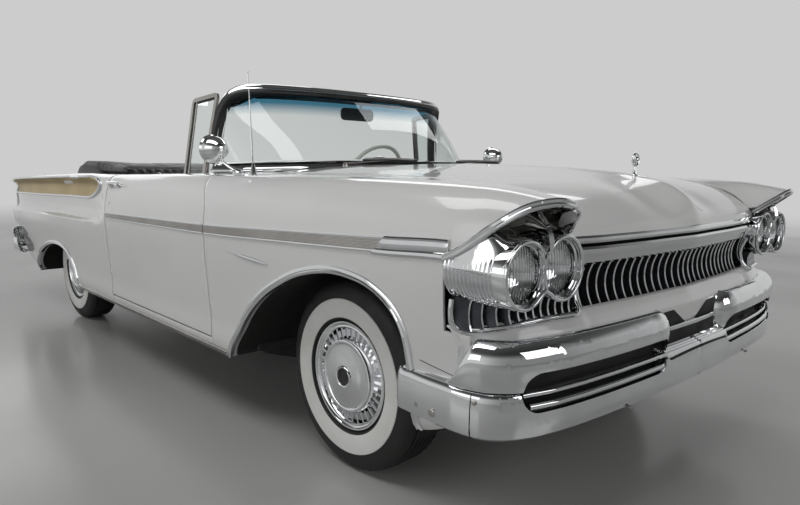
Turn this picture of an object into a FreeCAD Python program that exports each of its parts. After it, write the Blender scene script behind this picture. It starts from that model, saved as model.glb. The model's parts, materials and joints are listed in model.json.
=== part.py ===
import FreeCAD, Part
import math
import os

from FreeCAD import Vector, Placement, Rotation

# A full-size two-door convertible of the late 1950s, in millimetres.
# +X runs forward, +Y to the car's left, +Z up; the origin is on the ground
# under the middle of the car's bounding box.

doc = FreeCAD.newDocument("convertible")

# ---- driving sizes ---------------------------------------------------------
sizes = {
    # the whole car
    "overall_length": 5362, "body_width": 2008, "wheelbase": 3099, "front_overhang": 895,
    "rocker_height": 300, "belt_height": 1035, "header_height": 1450,
    "panel_gap": 6, "seat_gap": 0.3, "skin": 24, "liner_gap": 0.4,
    # wheels
    "front_track": 1509, "rear_track": 1499, "tyre_radius": 350, "tyre_width": 204,
    "rim_radius": 188, "rim_width": 150, "bead_gap": 0.3,
    "kingpin_inset": 70, "kingpin_radius": 22, "stub_radius": 24,
    "stub_gap": 0.05, "arch_top": 755, "arch_half_length": 538, "arch_back_set": 38,
    "rear_arch_top": 560, "rear_arch_half_length": 452, "rear_arch_forward": 78, "wheelhouse_clearance": 50,
    # doors
    "axle_to_door": 776, "door_length": 1196, "door_thickness": 215, "door_bottom": 362,
    "vent_length": 235, "vent_thickness": 16, "vent_height": 355,
    # hood, cowl and deck
    "hood_half_width": 690, "axle_to_hood_rear": 606, "nose_inset": 82,
    "deck_half_width": 690, "axle_to_deck_front": 430, "tail_inset": 130,
    # windshield
    "axle_to_pillar": 1136, "axle_to_glass_base": 640, "pillar_half_width": 762,
    "header_half_width": 690, "header_bow": 222, "glass_thickness": 6, "pillar_size": 34,
    # floor and frame
    "floor_height": 300, "floor_thickness": 30, "rail_height": 110,
    "rail_width": 70, "rail_bottom": 185, "frame_half_width": 620, "front_frame_half_width": 420,
    # cabin
    "firewall_offset": 626, "axle_to_seat_back": 253, "seat_back_height": 1048,
    "steering_half_track": 380, "steering_radius": 205, "steering_tube": 13,
    # bumpers
    "bumper_bottom": 388, "bumper_bar_height": 142, "bumper_depth": 150, "pod_top": 658,
    "rear_bumper_bottom": 385, "rear_bumper_height": 190, "bumper_wrap": 455,
    # lamps and grille
    "lamp_height": 831, "lamp_radius": 91, "outer_lamp": 912, "inner_lamp": 748,
    "grille_top": 862, "grille_half_width": 626, "bar_pitch": 40,
    "bar_width": 14,
    # small pieces
    "antenna_height": 1475, "mirror_height": 1155, "mirror_radius": 58,
}

sheet = doc.addObject("Spreadsheet::Sheet", "sizes")
for row, (name, value) in enumerate(sizes.items(), start=1):
    sheet.set("A%d" % row, name)
    sheet.set("B%d" % row, str(value))
    sheet.setAlias("B%d" % row, name)
doc.recompute()


def size(name):
    return float(sheet.get(name))


# ---- places worked out from the sizes --------------------------------------
front_x = size("overall_length") / 2
rear_x = -front_x
front_axle = front_x - size("front_overhang")
rear_axle = front_axle - size("wheelbase")
half_width = size("body_width") / 2
hub_z = size("tyre_radius")
gap = size("panel_gap")
skin = size("skin")
door_front = front_axle - size("axle_to_door")
door_rear = door_front - size("door_length")
hood_rear = front_axle - size("axle_to_hood_rear")
nose_x = front_x - size("nose_inset")
deck_front = rear_axle - size("axle_to_deck_front")
tail_x = rear_x + size("tail_inset")
pillar_x = front_axle - size("axle_to_pillar")
glass_base_x = front_axle - size("axle_to_glass_base")
firewall_x = front_axle - size("firewall_offset")
floor_top = size("floor_height") + size("floor_thickness")
belt_z = size("belt_height")

pieces = []


def sub_part(shape, label):
    """A fixed shape kept as a feature of the document under its own label."""
    feature = doc.addObject("Part::Feature", label)
    feature.Shape = shape
    feature.Placement = shape.Placement
    feature.Label = label
    pieces.append(feature)
    return feature


def block(low, high):
    """A box between two opposite corners."""
    spans = [b - a for a, b in zip(low, high)]
    return Part.makeBox(spans[0], spans[1], spans[2], Vector(*low))


def rod(start, end, radius):
    """A round bar between two points."""
    line = Vector(*end) - Vector(*start)
    return Part.makeCylinder(radius, line.Length, Vector(*start), line)


def mirrored(shape):
    """The same shape on the car's other side."""
    return shape.mirror(Vector(0, 0, 0), Vector(0, 1, 0))


def prism(points, normal_axis, start, end):
    """A polygon given in the two other axes, drawn out along one axis."""
    corners = []
    for a, b in points:
        place = {"x": (start, a, b), "y": (a, start, b), "z": (a, b, start)}[normal_axis]
        corners.append(Vector(*place))
    face = Part.Face(Part.makePolygon(corners + corners[:1]))
    run = {"x": Vector(1, 0, 0), "y": Vector(0, 1, 0), "z": Vector(0, 0, 1)}[normal_axis]
    return face.extrude(run * (end - start))


def joined(shapes):
    """One solid made of shapes that meet."""
    result = shapes[0]
    for shape in shapes[1:]:
        result = result.fuse(shape)
    return result.removeSplitter()


# ---- body envelope ---------------------------------------------------------
# Each row is a cross-section: where it stands along the car, the sill's height
# above the rocker line, how far the sill, the side's widest line, the shoulder
# and the crown lie inside the half width, the heights of those lines against
# the belt, and the height of the centre against the belt.
section_columns = ("place", "sill_rise", "sill_in", "waist_in", "waist_drop", "shoulder_in",
                   "shoulder_drop", "crown_in", "crown_rise", "centre_rise")
section_rows = [
    (nose_x, 140, 104, 24, 330, 64, 105, 150, -52, -105),
    (front_axle + 520, 30, 64, 9, 270, 40, 55, 130, 5, 25),
    (front_axle, 0, 49, 1, 240, 30, 35, 124, 20, 55),
    (door_front, 0, 49, 0, 235, 30, 42, 116, 20, 58),
    (door_front - 700, 0, 52, 0, 235, 34, 62, 116, -6, 0),
    (door_rear - 500, 0, 54, 4, 240, 40, 82, 118, -30, -25),
    (rear_axle, 8, 58, 9, 250, 46, 88, 120, -36, -20),
    (rear_axle - 690, 30, 76, 20, 275, 56, 100, 128, -46, -30),
    (tail_x, 120, 116, 50, 300, 84, 140, 150, -88, -95),
]


def section_wire(row, inset):
    """One closed cross-section, pushed in by the inset all round."""
    line = dict(zip(section_columns, row))
    outer = half_width - inset
    sill = Vector(line["place"], outer - line["sill_in"],
                  size("rocker_height") + line["sill_rise"] + inset)
    waist = Vector(line["place"], outer - line["waist_in"], belt_z - line["waist_drop"])
    shoulder = Vector(line["place"], outer - line["shoulder_in"], belt_z - line["shoulder_drop"])
    crown = Vector(line["place"], outer - line["crown_in"], belt_z + line["crown_rise"] - inset)
    centre = Vector(line["place"], 0, belt_z + line["centre_rise"] - inset)
    chord = (shoulder + crown) * 0.5
    bulge = Vector(0, crown.z - shoulder.z, shoulder.y - crown.y)
    middle = chord + bulge * 0.16

    def other(point):
        return Vector(point.x, -point.y, point.z)

    edges = [
        Part.LineSegment(other(sill), sill).toShape(),
        Part.LineSegment(sill, waist).toShape(),
        Part.LineSegment(waist, shoulder).toShape(),
        Part.Arc(shoulder, middle, crown).toShape(),
        Part.LineSegment(crown, centre).toShape(),
        Part.LineSegment(centre, other(crown)).toShape(),
        Part.Arc(other(crown), other(middle), other(shoulder)).toShape(),
        Part.LineSegment(other(shoulder), other(waist)).toShape(),
        Part.LineSegment(other(waist), other(sill)).toShape(),
    ]
    return Part.Wire(edges)


def body_loft(inset):
    """The body's envelope, pushed in by the inset."""
    return Part.makeLoft([section_wire(row, inset) for row in section_rows], True, True)


envelope = body_loft(0)
inner_envelope = body_loft(skin)
far = 3000.0


def region(x_low, x_high, y_low, y_high, z_low, z_high):
    return block((x_low, y_low, z_low), (x_high, y_high, z_high))


# ---- front fenders ---------------------------------------------------------
def arch_cylinder(axle_x, half_length, top, y_low, y_high, wall):
    """The round of a wheel opening, from its foot at the rocker over its top."""
    rise = top - size("rocker_height")
    radius = (half_length ** 2 + rise ** 2) / (2 * rise)
    centre = Vector(axle_x, y_low, top - radius)
    return Part.makeCylinder(radius + wall, y_high - y_low, centre, Vector(0, 1, 0))


apron_y = 500.0
arch_x = front_axle - size("arch_back_set")
fender_inner = -size("hood_half_width") - gap
lamp_top = size("lamp_height") + size("lamp_radius") + 22


def front_fender():
    top = region(door_front + gap, nose_x, -far, fender_inner, 0, far)
    shell = envelope.cut(inner_envelope).common(top)
    side_low = envelope.cut(inner_envelope).common(
        region(door_front + gap, nose_x, -far, -half_width + 160, 0, far))
    shell = shell.common(region(-far, far, -far, far, size("rocker_height") + skin + 40, far))
    shell = shell.fuse(side_low)
    flange = envelope.common(region(door_front + gap, door_front + gap + skin, -far,
                                    -half_width + 120, 0, belt_z - 60))
    nose = envelope.common(region(nose_x - skin, nose_x, -far, fender_inner, lamp_top, far))
    half = size("arch_half_length")
    ring = arch_cylinder(arch_x, half, size("arch_top"), -half_width + 20, -apron_y, skin)
    ring = ring.common(envelope).common(region(-far, far, -far, far, hub_z - 40, far))
    apron = region(arch_x - half + 60, arch_x + half - 60, -apron_y - skin, -apron_y, 620, 930)
    shelf_y = fender_inner - 60
    ledge = region(arch_x - half + 60, arch_x + half - 60, shelf_y, -apron_y, 906, 930)
    wall = region(arch_x - half + 60, arch_x + half - 60, shelf_y, shelf_y + skin, 906, far)
    wall = wall.common(envelope)
    whole = shell
    for piece in (flange, nose, ring, apron, ledge, wall):
        whole = whole.fuse(piece)
    hollow = arch_cylinder(arch_x, half, size("arch_top"), -far, -apron_y - skin, 0)
    hollow = hollow.fuse(region(arch_x - half, arch_x + half, -far, -apron_y - skin, 0,
                                size("rocker_height") + 10))
    hollow = hollow.fuse(arch_cylinder(arch_x, half, size("arch_top"), -far, -apron_y + 1, 0)
                         .common(region(-far, far, -far, far, 0, 640)))
    return whole.cut(hollow)


right_fender = front_fender()
sub_part(right_fender, "front_fender_right")
sub_part(mirrored(right_fender), "front_fender_left")


# ---- hood ------------------------------------------------------------------
def hood():
    wide = size("hood_half_width")
    lid = envelope.cut(inner_envelope).common(
        region(hood_rear + gap, nose_x, -wide, wide, 880, far))
    lip = envelope.common(region(nose_x - skin, nose_x, -wide, wide, 888, far))
    whole = lid.fuse(lip)
    for y in (-500, 500):
        leaf = region(hood_rear + size("seat_gap"), hood_rear + gap + 20, y - 30, y + 30,
                      belt_z, far)
        whole = whole.fuse(leaf.common(envelope))
    return whole.removeSplitter()


sub_part(hood(), "hood")

# ---- cowl, with the firewall and the kick panels ---------------------------
cabin_side = half_width - size("door_thickness")
cowl_side = cabin_side - gap


def cowl():
    top = envelope.cut(inner_envelope).common(
        region(pillar_x - 60, door_front, -cowl_side, cowl_side, 900, far))
    front = envelope.cut(inner_envelope).common(
        region(door_front, hood_rear, fender_inner + gap, -fender_inner - gap, 900, far))
    plenum = envelope.common(
        region(hood_rear - skin, hood_rear, fender_inner + gap, -fender_inner - gap, 960, far))
    wall = region(firewall_x - skin, firewall_x, fender_inner + gap, -fender_inner - gap,
                  floor_top + 1, 1000)
    wall = wall.common(envelope)
    whole = joined([top, front, plenum, wall])
    for side in (-1, 1):
        kick = region(pillar_x + 150, firewall_x, -skin / 2, skin / 2, floor_top + 1, far)
        kick.translate(Vector(0, side * (cowl_side - skin / 2), 0))
        ahead = kick.common(lining).common(region(door_front, far, -far, far, 0, far))
        behind = kick.common(envelope).common(region(-far, door_front, -far, far, 0, far))
        whole = whole.fuse(ahead).fuse(behind)
    return whole.removeSplitter()


lining = body_loft(skin + size("liner_gap"))
sub_part(cowl(), "cowl")


# ---- doors -----------------------------------------------------------------
def door():
    """The door with its two hinge leaves, which reach to the fender's flange."""
    whole = envelope.common(region(door_rear, door_front, -far, -cabin_side,
                                   size("door_bottom"), far))
    for height in (size("door_bottom") + 120, belt_z - 230):
        leaf = region(door_front - 20, door_front + gap - size("seat_gap"), -half_width + 55,
                      -half_width + 105, height, height + 60)
        whole = whole.fuse(leaf)
    return whole.removeSplitter()


right_door = door()
sub_part(right_door, "door_right")
sub_part(mirrored(right_door), "door_left")


def vent_window():
    """The framed pane at the door's front, leaning in towards its top."""
    front = pillar_x - size("pillar_size") / 2 - gap
    rear_low = front - size("vent_length") * 0.9
    rear_high = front - size("vent_length")
    low = belt_z + 10
    high = low + size("vent_height")
    thick = size("vent_thickness")
    foot_y = -cabin_side - thick - 14
    lean = 56
    sill = belt_z - 30
    outline = [(front, sill), (front, high), (rear_high, high), (rear_low, sill)]
    pane = prism(outline, "y", foot_y - 60, foot_y + 120)
    slab = prism([(foot_y - 0, sill), (foot_y + thick, sill), (foot_y + thick + lean, high),
                  (foot_y + lean, high)], "x", rear_high - 20, front + 20)
    return pane.common(slab).cut(right_door)


right_vent = vent_window()
sub_part(right_vent, "vent_window_right")
sub_part(mirrored(right_vent), "vent_window_left")

kick_x = min(rear_axle + 690, door_rear - 40)
rear_rail_low = 400.0
rear_floor = rear_rail_low + size("rail_height") + 5

# ---- rear quarters ---------------------------------------------------------
deck_side = size("deck_half_width") + gap
well_rear = deck_front + gap
trunk_wall = rear_axle + size("axle_to_seat_back")
wheelhouse_y = 600.0
wheelhouse_radius = size("tyre_radius") + size("wheelhouse_clearance")


def rear_quarter():
    front = door_rear - gap
    side = envelope.common(region(trunk_wall, front, -far, -cabin_side, 0, far))
    shell = envelope.cut(inner_envelope).common(region(tail_x, trunk_wall, -far, -deck_side,
                                                       0, far))
    keep = region(tail_x, trunk_wall, -far, -half_width + 160, 0, far)
    keep = keep.fuse(region(tail_x, trunk_wall, -far, far, 700, far))
    shell = shell.common(keep)
    rim = envelope.common(region(tail_x, well_rear, -deck_side - skin, -deck_side,
                                 belt_z - 130, far))
    house = Part.makeCylinder(wheelhouse_radius + skin, half_width - wheelhouse_y - 20,
                              Vector(rear_axle, -half_width + 20, hub_z), Vector(0, 1, 0))
    house = house.common(region(-far, far, -far, far, size("rocker_height") + 70, far))
    house = house.common(envelope)
    whole = side.fuse(shell).fuse(rim).fuse(house)
    hollow = Part.makeCylinder(wheelhouse_radius, half_width - wheelhouse_y - 2 * skin,
                               Vector(rear_axle, -half_width + skin + 14, hub_z),
                               Vector(0, 1, 0))
    hollow = hollow.fuse(region(rear_axle - wheelhouse_radius, rear_axle + wheelhouse_radius,
                                -half_width + skin + 14, -wheelhouse_y - skin + 14, 0, hub_z))
    opening = arch_cylinder(rear_axle + size("rear_arch_forward"), size("rear_arch_half_length"),
                            size("rear_arch_top"), -far, -half_width + 140, 0)
    slot = region(rear_axle - 75, rear_axle + 75, -wheelhouse_y - skin, -wheelhouse_y + skin,
                  0, hub_z + 80)
    return whole.cut(hollow).cut(opening).cut(slot)


right_quarter = rear_quarter()
sub_part(right_quarter, "rear_quarter_right")
sub_part(mirrored(right_quarter), "rear_quarter_left")


# ---- deck lid --------------------------------------------------------------
def deck_lid():
    wide = size("deck_half_width")
    lid = envelope.cut(inner_envelope).common(
        region(tail_x, deck_front - gap, -wide, wide, 700, far))
    for y in (-450, 450):
        leaf = region(deck_front - gap - 20, deck_front - size("seat_gap"), y - 30, y + 30,
                      belt_z - 70, far)
        lid = lid.fuse(leaf.common(envelope))
    return lid.removeSplitter()


sub_part(deck_lid(), "deck_lid")


# ---- panel across the back, and the wall behind the rear seat --------------
rear_bumper_top = size("rear_bumper_bottom") + size("rear_bumper_height")


def tail_panel():
    side = deck_side - gap
    low = rear_bumper_top + 8
    face = envelope.common(region(tail_x, tail_x + skin, -side, side, low,
                                  belt_z - 95 - skin - gap - 14))
    foot_x = tail_x + skin + 2
    foot_top = region(tail_x + skin / 2, foot_x + skin, -500, 500, low, low + skin)
    foot = region(foot_x, foot_x + skin, -500, 500, rear_floor + skin + size("seat_gap"), low + 1)
    return joined([face, foot_top, foot])


sub_part(tail_panel(), "tail_panel")


def rear_bulkhead():
    deck = envelope.cut(inner_envelope).common(
        region(deck_front, deck_front + 60, -deck_side + gap, deck_side - gap, 700, far))
    wall = envelope.common(region(deck_front + 10, deck_front + 10 + skin, -wheelhouse_y + gap,
                                  wheelhouse_y - gap, rear_floor + skin + size("seat_gap"), belt_z))
    return joined([deck, wall])


sub_part(rear_bulkhead(), "rear_bulkhead")


# ---- floor with its sills --------------------------------------------------
def floor_pan():
    sill_top = size("door_bottom") - gap
    side = cabin_side + 40
    whole = region(door_rear, firewall_x, -side, side, size("floor_height"), floor_top)
    back_side = cabin_side - size("seat_gap")
    whole = whole.fuse(region(kick_x, door_rear, -back_side, back_side, size("floor_height"),
                              floor_top))
    for side in (-1, 1):
        sill = region(door_rear - gap + 1, door_front, -100, 100, size("floor_height"), sill_top)
        sill.translate(Vector(0, side * (half_width - 115), 0))
        whole = whole.fuse(sill.common(envelope))
    back_side = wheelhouse_y - gap
    whole = whole.fuse(region(kick_x, kick_x + skin, -cabin_side + 0.3, cabin_side - 0.3,
                              size("floor_height"), rear_floor + skin))
    whole = whole.fuse(region(tail_x + skin + 2, kick_x + skin, -back_side, back_side,
                              rear_floor, rear_floor + skin))
    return whole.removeSplitter()


sub_part(floor_pan(), "floor_pan")


# ---- windshield ------------------------------------------------------------
def shield_outline(base, thick):
    """Plan of the wrapped glass at one height: a wide arc between the pillars."""
    end_x, end_y, bow = base
    outer = Part.Arc(Vector(end_x, -end_y, 0), Vector(end_x + bow, 0, 0),
                     Vector(end_x, end_y, 0)).toShape()
    inner = Part.Arc(Vector(end_x, end_y - thick, 0), Vector(end_x + bow - thick, 0, 0),
                     Vector(end_x, -end_y + thick, 0)).toShape()
    close_a = Part.makeLine(Vector(end_x, end_y, 0), Vector(end_x, end_y - thick, 0))
    close_b = Part.makeLine(Vector(end_x, -end_y + thick, 0), Vector(end_x, -end_y, 0))
    return Part.Wire([outer, close_a, inner, close_b])


glass_low = belt_z + 62
glass_high = size("header_height") - 30


def shield(thick, low, high, push):
    """The wrapped sheet from the cowl to the header, at a thickness."""
    base = (pillar_x, size("pillar_half_width") + push,
            glass_base_x - pillar_x + push)
    top = (pillar_x, size("header_half_width") + push, size("header_bow") + push)
    wires = []
    for where in (low, high):
        blend = (where - glass_low) / (glass_high - glass_low)
        plan = [a + (b - a) * blend for a, b in zip(base, top)]
        wire = shield_outline(plan, thick)
        wire.translate(Vector(0, 0, where))
        wires.append(wire)
    return Part.makeLoft(wires, True, True)


def windshield_glass():
    glass = shield(size("glass_thickness"), glass_low + 6, glass_high - 6, 0)
    return glass.common(region(pillar_x + 4.3, far, -far, far, 0, far))


def windshield_frame():
    post = size("pillar_size")
    header = shield(post + 20, glass_high - 5.7, size("header_height"), 12)
    plan = shield_outline((pillar_x, size("pillar_half_width") + 12,
                           glass_base_x - pillar_x + 12), post)
    plan.translate(Vector(0, 0, belt_z - 20))
    sill = Part.Face(plan).extrude(Vector(0, 0, glass_low + 5.7 - belt_z + 20)).cut(envelope)
    whole = [header, sill]
    for side in (-1, 1):
        foot = Vector(pillar_x - post / 2 + 4, side * (size("pillar_half_width") - 3), belt_z - 20)
        head = Vector(pillar_x - post / 2 + 4, side * (size("header_half_width") - 3),
                      size("header_height") - 4)
        wires = []
        for point in (foot, head):
            wires.append(Part.makePolygon([
                point + Vector(-post / 2, -post / 2, 0), point + Vector(post / 2, -post / 2, 0),
                point + Vector(post / 2, post / 2, 0), point + Vector(-post / 2, post / 2, 0),
                point + Vector(-post / 2, -post / 2, 0)]))
        whole.append(Part.makeLoft(wires, True, True))
    return joined(whole).cut(envelope)


cowl_shape = pieces[3].Shape
sub_part(windshield_glass(), "windshield_glass")
sub_part(windshield_frame(), "windshield_frame")


# ---- dashboard, column and steering wheel ----------------------------------
def cylinder_between(start, end, radius):
    return rod(tuple(start), tuple(end), radius)


dash_rear = pillar_x - 90
column_y = size("steering_half_track")
wheel_centre = Vector(pillar_x - 165, column_y, belt_z - 5)
column_lean = math.radians(28)
column_axis = Vector(-math.cos(column_lean), 0, math.sin(column_lean))


def dashboard():
    side = cowl_side - skin - size("seat_gap")
    top = belt_z - skin - 6
    outline = [(dash_rear, belt_z - 60), (dash_rear, top), (firewall_x - skin - 60, top),
               (firewall_x - skin - 60, belt_z - 90), (dash_rear + 160, belt_z - 110),
               (dash_rear + 120, belt_z - 300), (dash_rear + 60, belt_z - 300)]
    return prism(outline, "y", -side, side)


def steering_column():
    start = wheel_centre - column_axis * 38.5
    end = wheel_centre - column_axis * 560
    tube = cylinder_between(start, end, 27)
    return tube


def steering_wheel():
    """Rim, two spokes and hub, made lying flat and then tipped to the column."""
    rim = Part.makeTorus(size("steering_radius"), size("steering_tube"))
    hub = Part.makeCylinder(42, 44, Vector(0, 0, -38))
    reach = size("steering_radius")
    spokes = block((-13, -reach, -9), (13, reach, 3))
    whole = joined([rim, hub, spokes])
    tip = Rotation(Vector(0, 0, 1), column_axis)
    whole.Placement = Placement(wheel_centre, tip)
    return whole


column_shape = steering_column()
sub_part(dashboard().cut(cylinder_between(wheel_centre, wheel_centre - column_axis * 700,
                                              27 + size("seat_gap"))),
         "dashboard")
sub_part(column_shape, "steering_column")
sub_part(steering_wheel(), "steering_wheel")


# ---- seats and the folded top ----------------------------------------------
seat_floor = floor_top + size("seat_gap")


def bench(front, rear, side, seat_top, back_rear, back_top, foot):
    outline = [(front, foot), (front, seat_top), (rear, seat_top - 30),
               (back_rear + 60, back_top), (back_rear - 60, back_top), (rear - 110, foot)]
    return prism(outline, "y", -side, side)


front_seat_shape = bench(door_rear + 486, door_rear + 56, cabin_side - 89, seat_floor + 280,
                         door_rear - 34, size("seat_back_height"), seat_floor)
sub_part(front_seat_shape, "front_seat")
rear_side = wheelhouse_y - gap
rear_seat_shape = bench(kick_x + skin + 10, trunk_wall + 110, rear_side, rear_floor + 145,
                        trunk_wall + 60, size("seat_back_height"),
                        rear_floor + skin + size("seat_gap"))
sub_part(rear_seat_shape, "rear_seat")


def folded_top():
    """The stowed soft top under its boot: a low hump from side to side."""
    low = belt_z - 250
    outline = [(trunk_wall - 20, low), (trunk_wall - 20, belt_z - 10),
               (trunk_wall - 90, belt_z + 60), (trunk_wall - 300, belt_z + 72),
               (deck_front + 130, belt_z + 30), (deck_front + 70, low)]
    side = deck_side - size("seat_gap")
    return prism(outline, "y", -side, side)


sub_part(folded_top(), "folded_top")


# ---- frame and running gear ------------------------------------------------
rail_low = size("rail_bottom")
rail_high = rail_low + size("rail_height")
wide_y = size("frame_half_width")
narrow_y = size("front_frame_half_width")
front_rail_low = size("rocker_height") + 30
frame_front = front_x - 215
frame_rear = rear_x + 230


def chassis_frame():
    high = size("rail_height")
    side_view = [
        (frame_front, front_rail_low), (front_axle - 440, front_rail_low),
        (firewall_x + 30, rail_low), (kick_x - 20, rail_low),
        (kick_x - 180, rear_rail_low), (frame_rear, rear_rail_low),
        (frame_rear, rear_rail_low + high), (kick_x - 240, rear_rail_low + high),
        (kick_x - 80, rail_high), (firewall_x + 20, rail_high),
        (front_axle - 420, front_rail_low + high), (frame_front, front_rail_low + high)]
    elevation = prism(side_view, "y", -far, far)
    wide = size("rail_width")
    rear_y = narrow_y + 40
    plan = [(frame_front, narrow_y), (front_axle - 500, narrow_y), (door_front - 130, wide_y),
            (kick_x - 90, wide_y), (rear_axle + 300, rear_y), (frame_rear, rear_y)]
    inside = [(x, y - wide) for x, y in reversed(plan)]
    rail = prism(plan + inside, "z", 0, 1000).common(elevation)
    whole = [rail, mirrored(rail)]
    for x, low, y in ((frame_front - 60, front_rail_low, narrow_y),
                      (door_front - 300, rail_low, wide_y - 20),
                      (door_rear - 400, rail_low, wide_y - 20),
                      (rear_axle - 520, rear_rail_low, narrow_y),
                      (frame_rear + 60, rear_rail_low, narrow_y)):
        whole.append(block((x - 40, -y + 10, low + 8), (x + 40, y - 10, low + 70)))
    return joined(whole)


frame_solid = chassis_frame()
shaft_space = cylinder_between(Vector(door_front + 200, 0, 330), Vector(rear_axle + 60, 0, hub_z), 52)
sub_part(frame_solid.cut(shaft_space), "chassis_frame")

kingpin_y = size("front_track") / 2 - size("kingpin_inset")
post_half = 115.0


def front_suspension():
    """The cross beam with its towers and the arms out to the knuckles."""
    x = front_axle
    beam = block((x - 75, -narrow_y + size("rail_width") - 10, 226),
                 (x + 75, narrow_y - size("rail_width") + 10, front_rail_low - 0.5))
    parts = [beam]
    foot = hub_z - post_half - 0.5
    head = hub_z + post_half + 0.5
    for side in (-1, 1):
        low_arm = [(x - 150, 330), (x + 150, 330), (x + 24, kingpin_y + 16),
                   (x - 24, kingpin_y + 16)]
        arm = prism(low_arm, "z", foot - 26, foot)
        high_arm = [(x - 110, narrow_y + 24), (x + 110, narrow_y + 24), (x + 24, kingpin_y + 16),
                    (x - 24, kingpin_y + 16)]
        top = prism(high_arm, "z", head, head + 22)
        tower = block((x - 60, narrow_y + 1, foot - 26), (x + 60, narrow_y + 26, head + 22))
        for piece in (arm, top, tower):
            parts.append(piece if side > 0 else mirrored(piece))
    return joined(parts)


suspension_shape = front_suspension().cut(frame_solid)
sub_part(suspension_shape, "front_suspension")


def rear_axle_shape():
    """The axle tube with its round housing, standing on two leaf springs."""
    tube_end = size("rear_track") / 2 - 42
    rail_outer = narrow_y + 40
    spring_y = rail_outer + 50
    parts = [rod((rear_axle, -tube_end, hub_z), (rear_axle, tube_end, hub_z), 38),
             Part.makeSphere(128, Vector(rear_axle, 0, hub_z))]
    seat_top = hub_z - 60
    eye_x = (rear_axle + 640, rear_axle - 700)
    eye_z = ((rail_low + rail_high) / 2 + 20, seat_top + 36)
    thick = 44
    for side in (-1, 1):
        y = side * spring_y
        parts.append(block((rear_axle - 60, y - 32, seat_top - thick - 10),
                           (rear_axle + 60, y + 32, hub_z)))
        leaf = [(eye_x[0], eye_z[0] + 12), (rear_axle + 200, seat_top),
                (rear_axle - 200, seat_top), (eye_x[1], eye_z[1] + 12),
                (eye_x[1], eye_z[1] - 12), (rear_axle - 200, seat_top - thick),
                (rear_axle + 200, seat_top - thick), (eye_x[0], eye_z[0] - 12)]
        parts.append(prism(leaf, "y", y - 30, y + 30))
        rail_in = wide_y - size("rail_width") - size("seat_gap")
        parts.append(rod((eye_x[0], y - side * 30, eye_z[0]), (eye_x[0], side * rail_in, eye_z[0]), 24))
        parts.append(rod((eye_x[1], y + side * 30, eye_z[1]),
                         (eye_x[1], side * (rail_outer - 40), eye_z[1]), 20))
        low, high = sorted((side * (rail_outer - 40), side * (rail_outer - 12)))
        parts.append(block((eye_x[1] - 20, low, eye_z[1] - 10),
                           (eye_x[1] + 20, high, rear_rail_low - size("seat_gap"))))
        parts.append(rod((rear_axle, side * 600, hub_z),
                         (rear_axle, side * (size("rear_track") / 2 + 40), hub_z),
                         size("stub_radius")))
    return joined(parts)


sub_part(rear_axle_shape(), "rear_axle")


def drivetrain():
    """A plain engine block, the gearbox behind it and the shaft to the axle."""
    front = front_axle + 330
    back = firewall_x + 120
    engine = block((back, -240, 345), (front, 240, 840))
    sump = block((front_axle - 420, -120, 232), (front_axle - 110, 120, 346))
    box = Part.makeCone(170, 80, back - firewall_x + 620, Vector(back, 0, 430), Vector(-1, 0, -0.09))
    start = Vector(back - 700, 0, 368)
    shaft = cylinder_between(start, Vector(rear_axle + 128.5, 0, hub_z), 38)
    return [engine.fuse(sump), box, shaft]


engine, gearbox, shaft = drivetrain()
tunnel = joined([gearbox, shaft])
engine_shape = joined([engine, tunnel]).cut(suspension_shape).cut(frame_solid)
sub_part(engine_shape, "engine_and_driveshaft")
tunnel_space = cylinder_between(Vector(firewall_x + 60, 0, 420), Vector(pillar_x - 200, 0, 372), 190)
tunnel_space = tunnel_space.fuse(
    cylinder_between(Vector(pillar_x - 190, 0, 360), Vector(rear_axle, 0, hub_z), 60))
tunnel_space = tunnel_space.fuse(Part.makeSphere(150, Vector(rear_axle, 0, hub_z)))
floor_piece = next(piece for piece in pieces if piece.Label == "floor_pan")
cowl_piece = next(piece for piece in pieces if piece.Label == "cowl")


def tunnel_cover():
    """The raised tunnel over the gearbox and shaft, part of the floor."""
    outer = cylinder_between(Vector(firewall_x, 0, 415), Vector(pillar_x - 200, 0, 372), 214)
    outer = outer.fuse(cylinder_between(Vector(pillar_x - 190, 0, 360),
                                        Vector(rear_axle + 230, 0, hub_z), 84))
    outer = outer.common(region(kick_x, firewall_x, -far, far, size("floor_height"), far))
    return outer


floor_piece.Shape = floor_piece.Shape.fuse(tunnel_cover()).cut(tunnel_space).removeSplitter()
cowl_piece.Shape = cowl_piece.Shape.cut(tunnel_cover().fuse(tunnel_space))
for seat_label in ("front_seat", "rear_seat"):
    seat = next(piece for piece in pieces if piece.Label == seat_label)
    clear = cylinder_between(Vector(firewall_x, 0, 415), Vector(pillar_x - 200, 0, 372), 214.3)
    clear = clear.fuse(cylinder_between(Vector(pillar_x - 190, 0, 360),
                                        Vector(rear_axle + 230, 0, hub_z), 84.3))
    seat.Shape = seat.Shape.cut(clear)


def exhaust():
    """Two pipes, each with a long silencer under the floor."""
    y = 360.0
    low = 232.0
    parts = [rod((door_front + 40, y, low), (tail_x + 60, y, low), 24),
             rod((door_rear + 300, y, low), (door_rear - 330, y, low), 60)]
    for x in (door_front - 120, door_rear - 150):
        parts.append(block((x - 12, y - 10, low),
                           (x + 12, y + 10, size("floor_height") - size("seat_gap"))))
    left = joined(parts)
    return Part.makeCompound([left, mirrored(left)])


exhaust_shape = exhaust()
frame_piece = next(piece for piece in pieces if piece.Label == "chassis_frame")
for side in (-1, 1):
    pipe_space = rod((door_front + 60, side * 360, 232), (tail_x, side * 360, 232), 30)
    silencer_space = rod((door_rear + 320, side * 360, 232), (door_rear - 350, side * 360, 232), 66)
    frame_piece.Shape = frame_piece.Shape.cut(pipe_space).cut(silencer_space)
sub_part(exhaust_shape, "exhaust")


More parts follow.
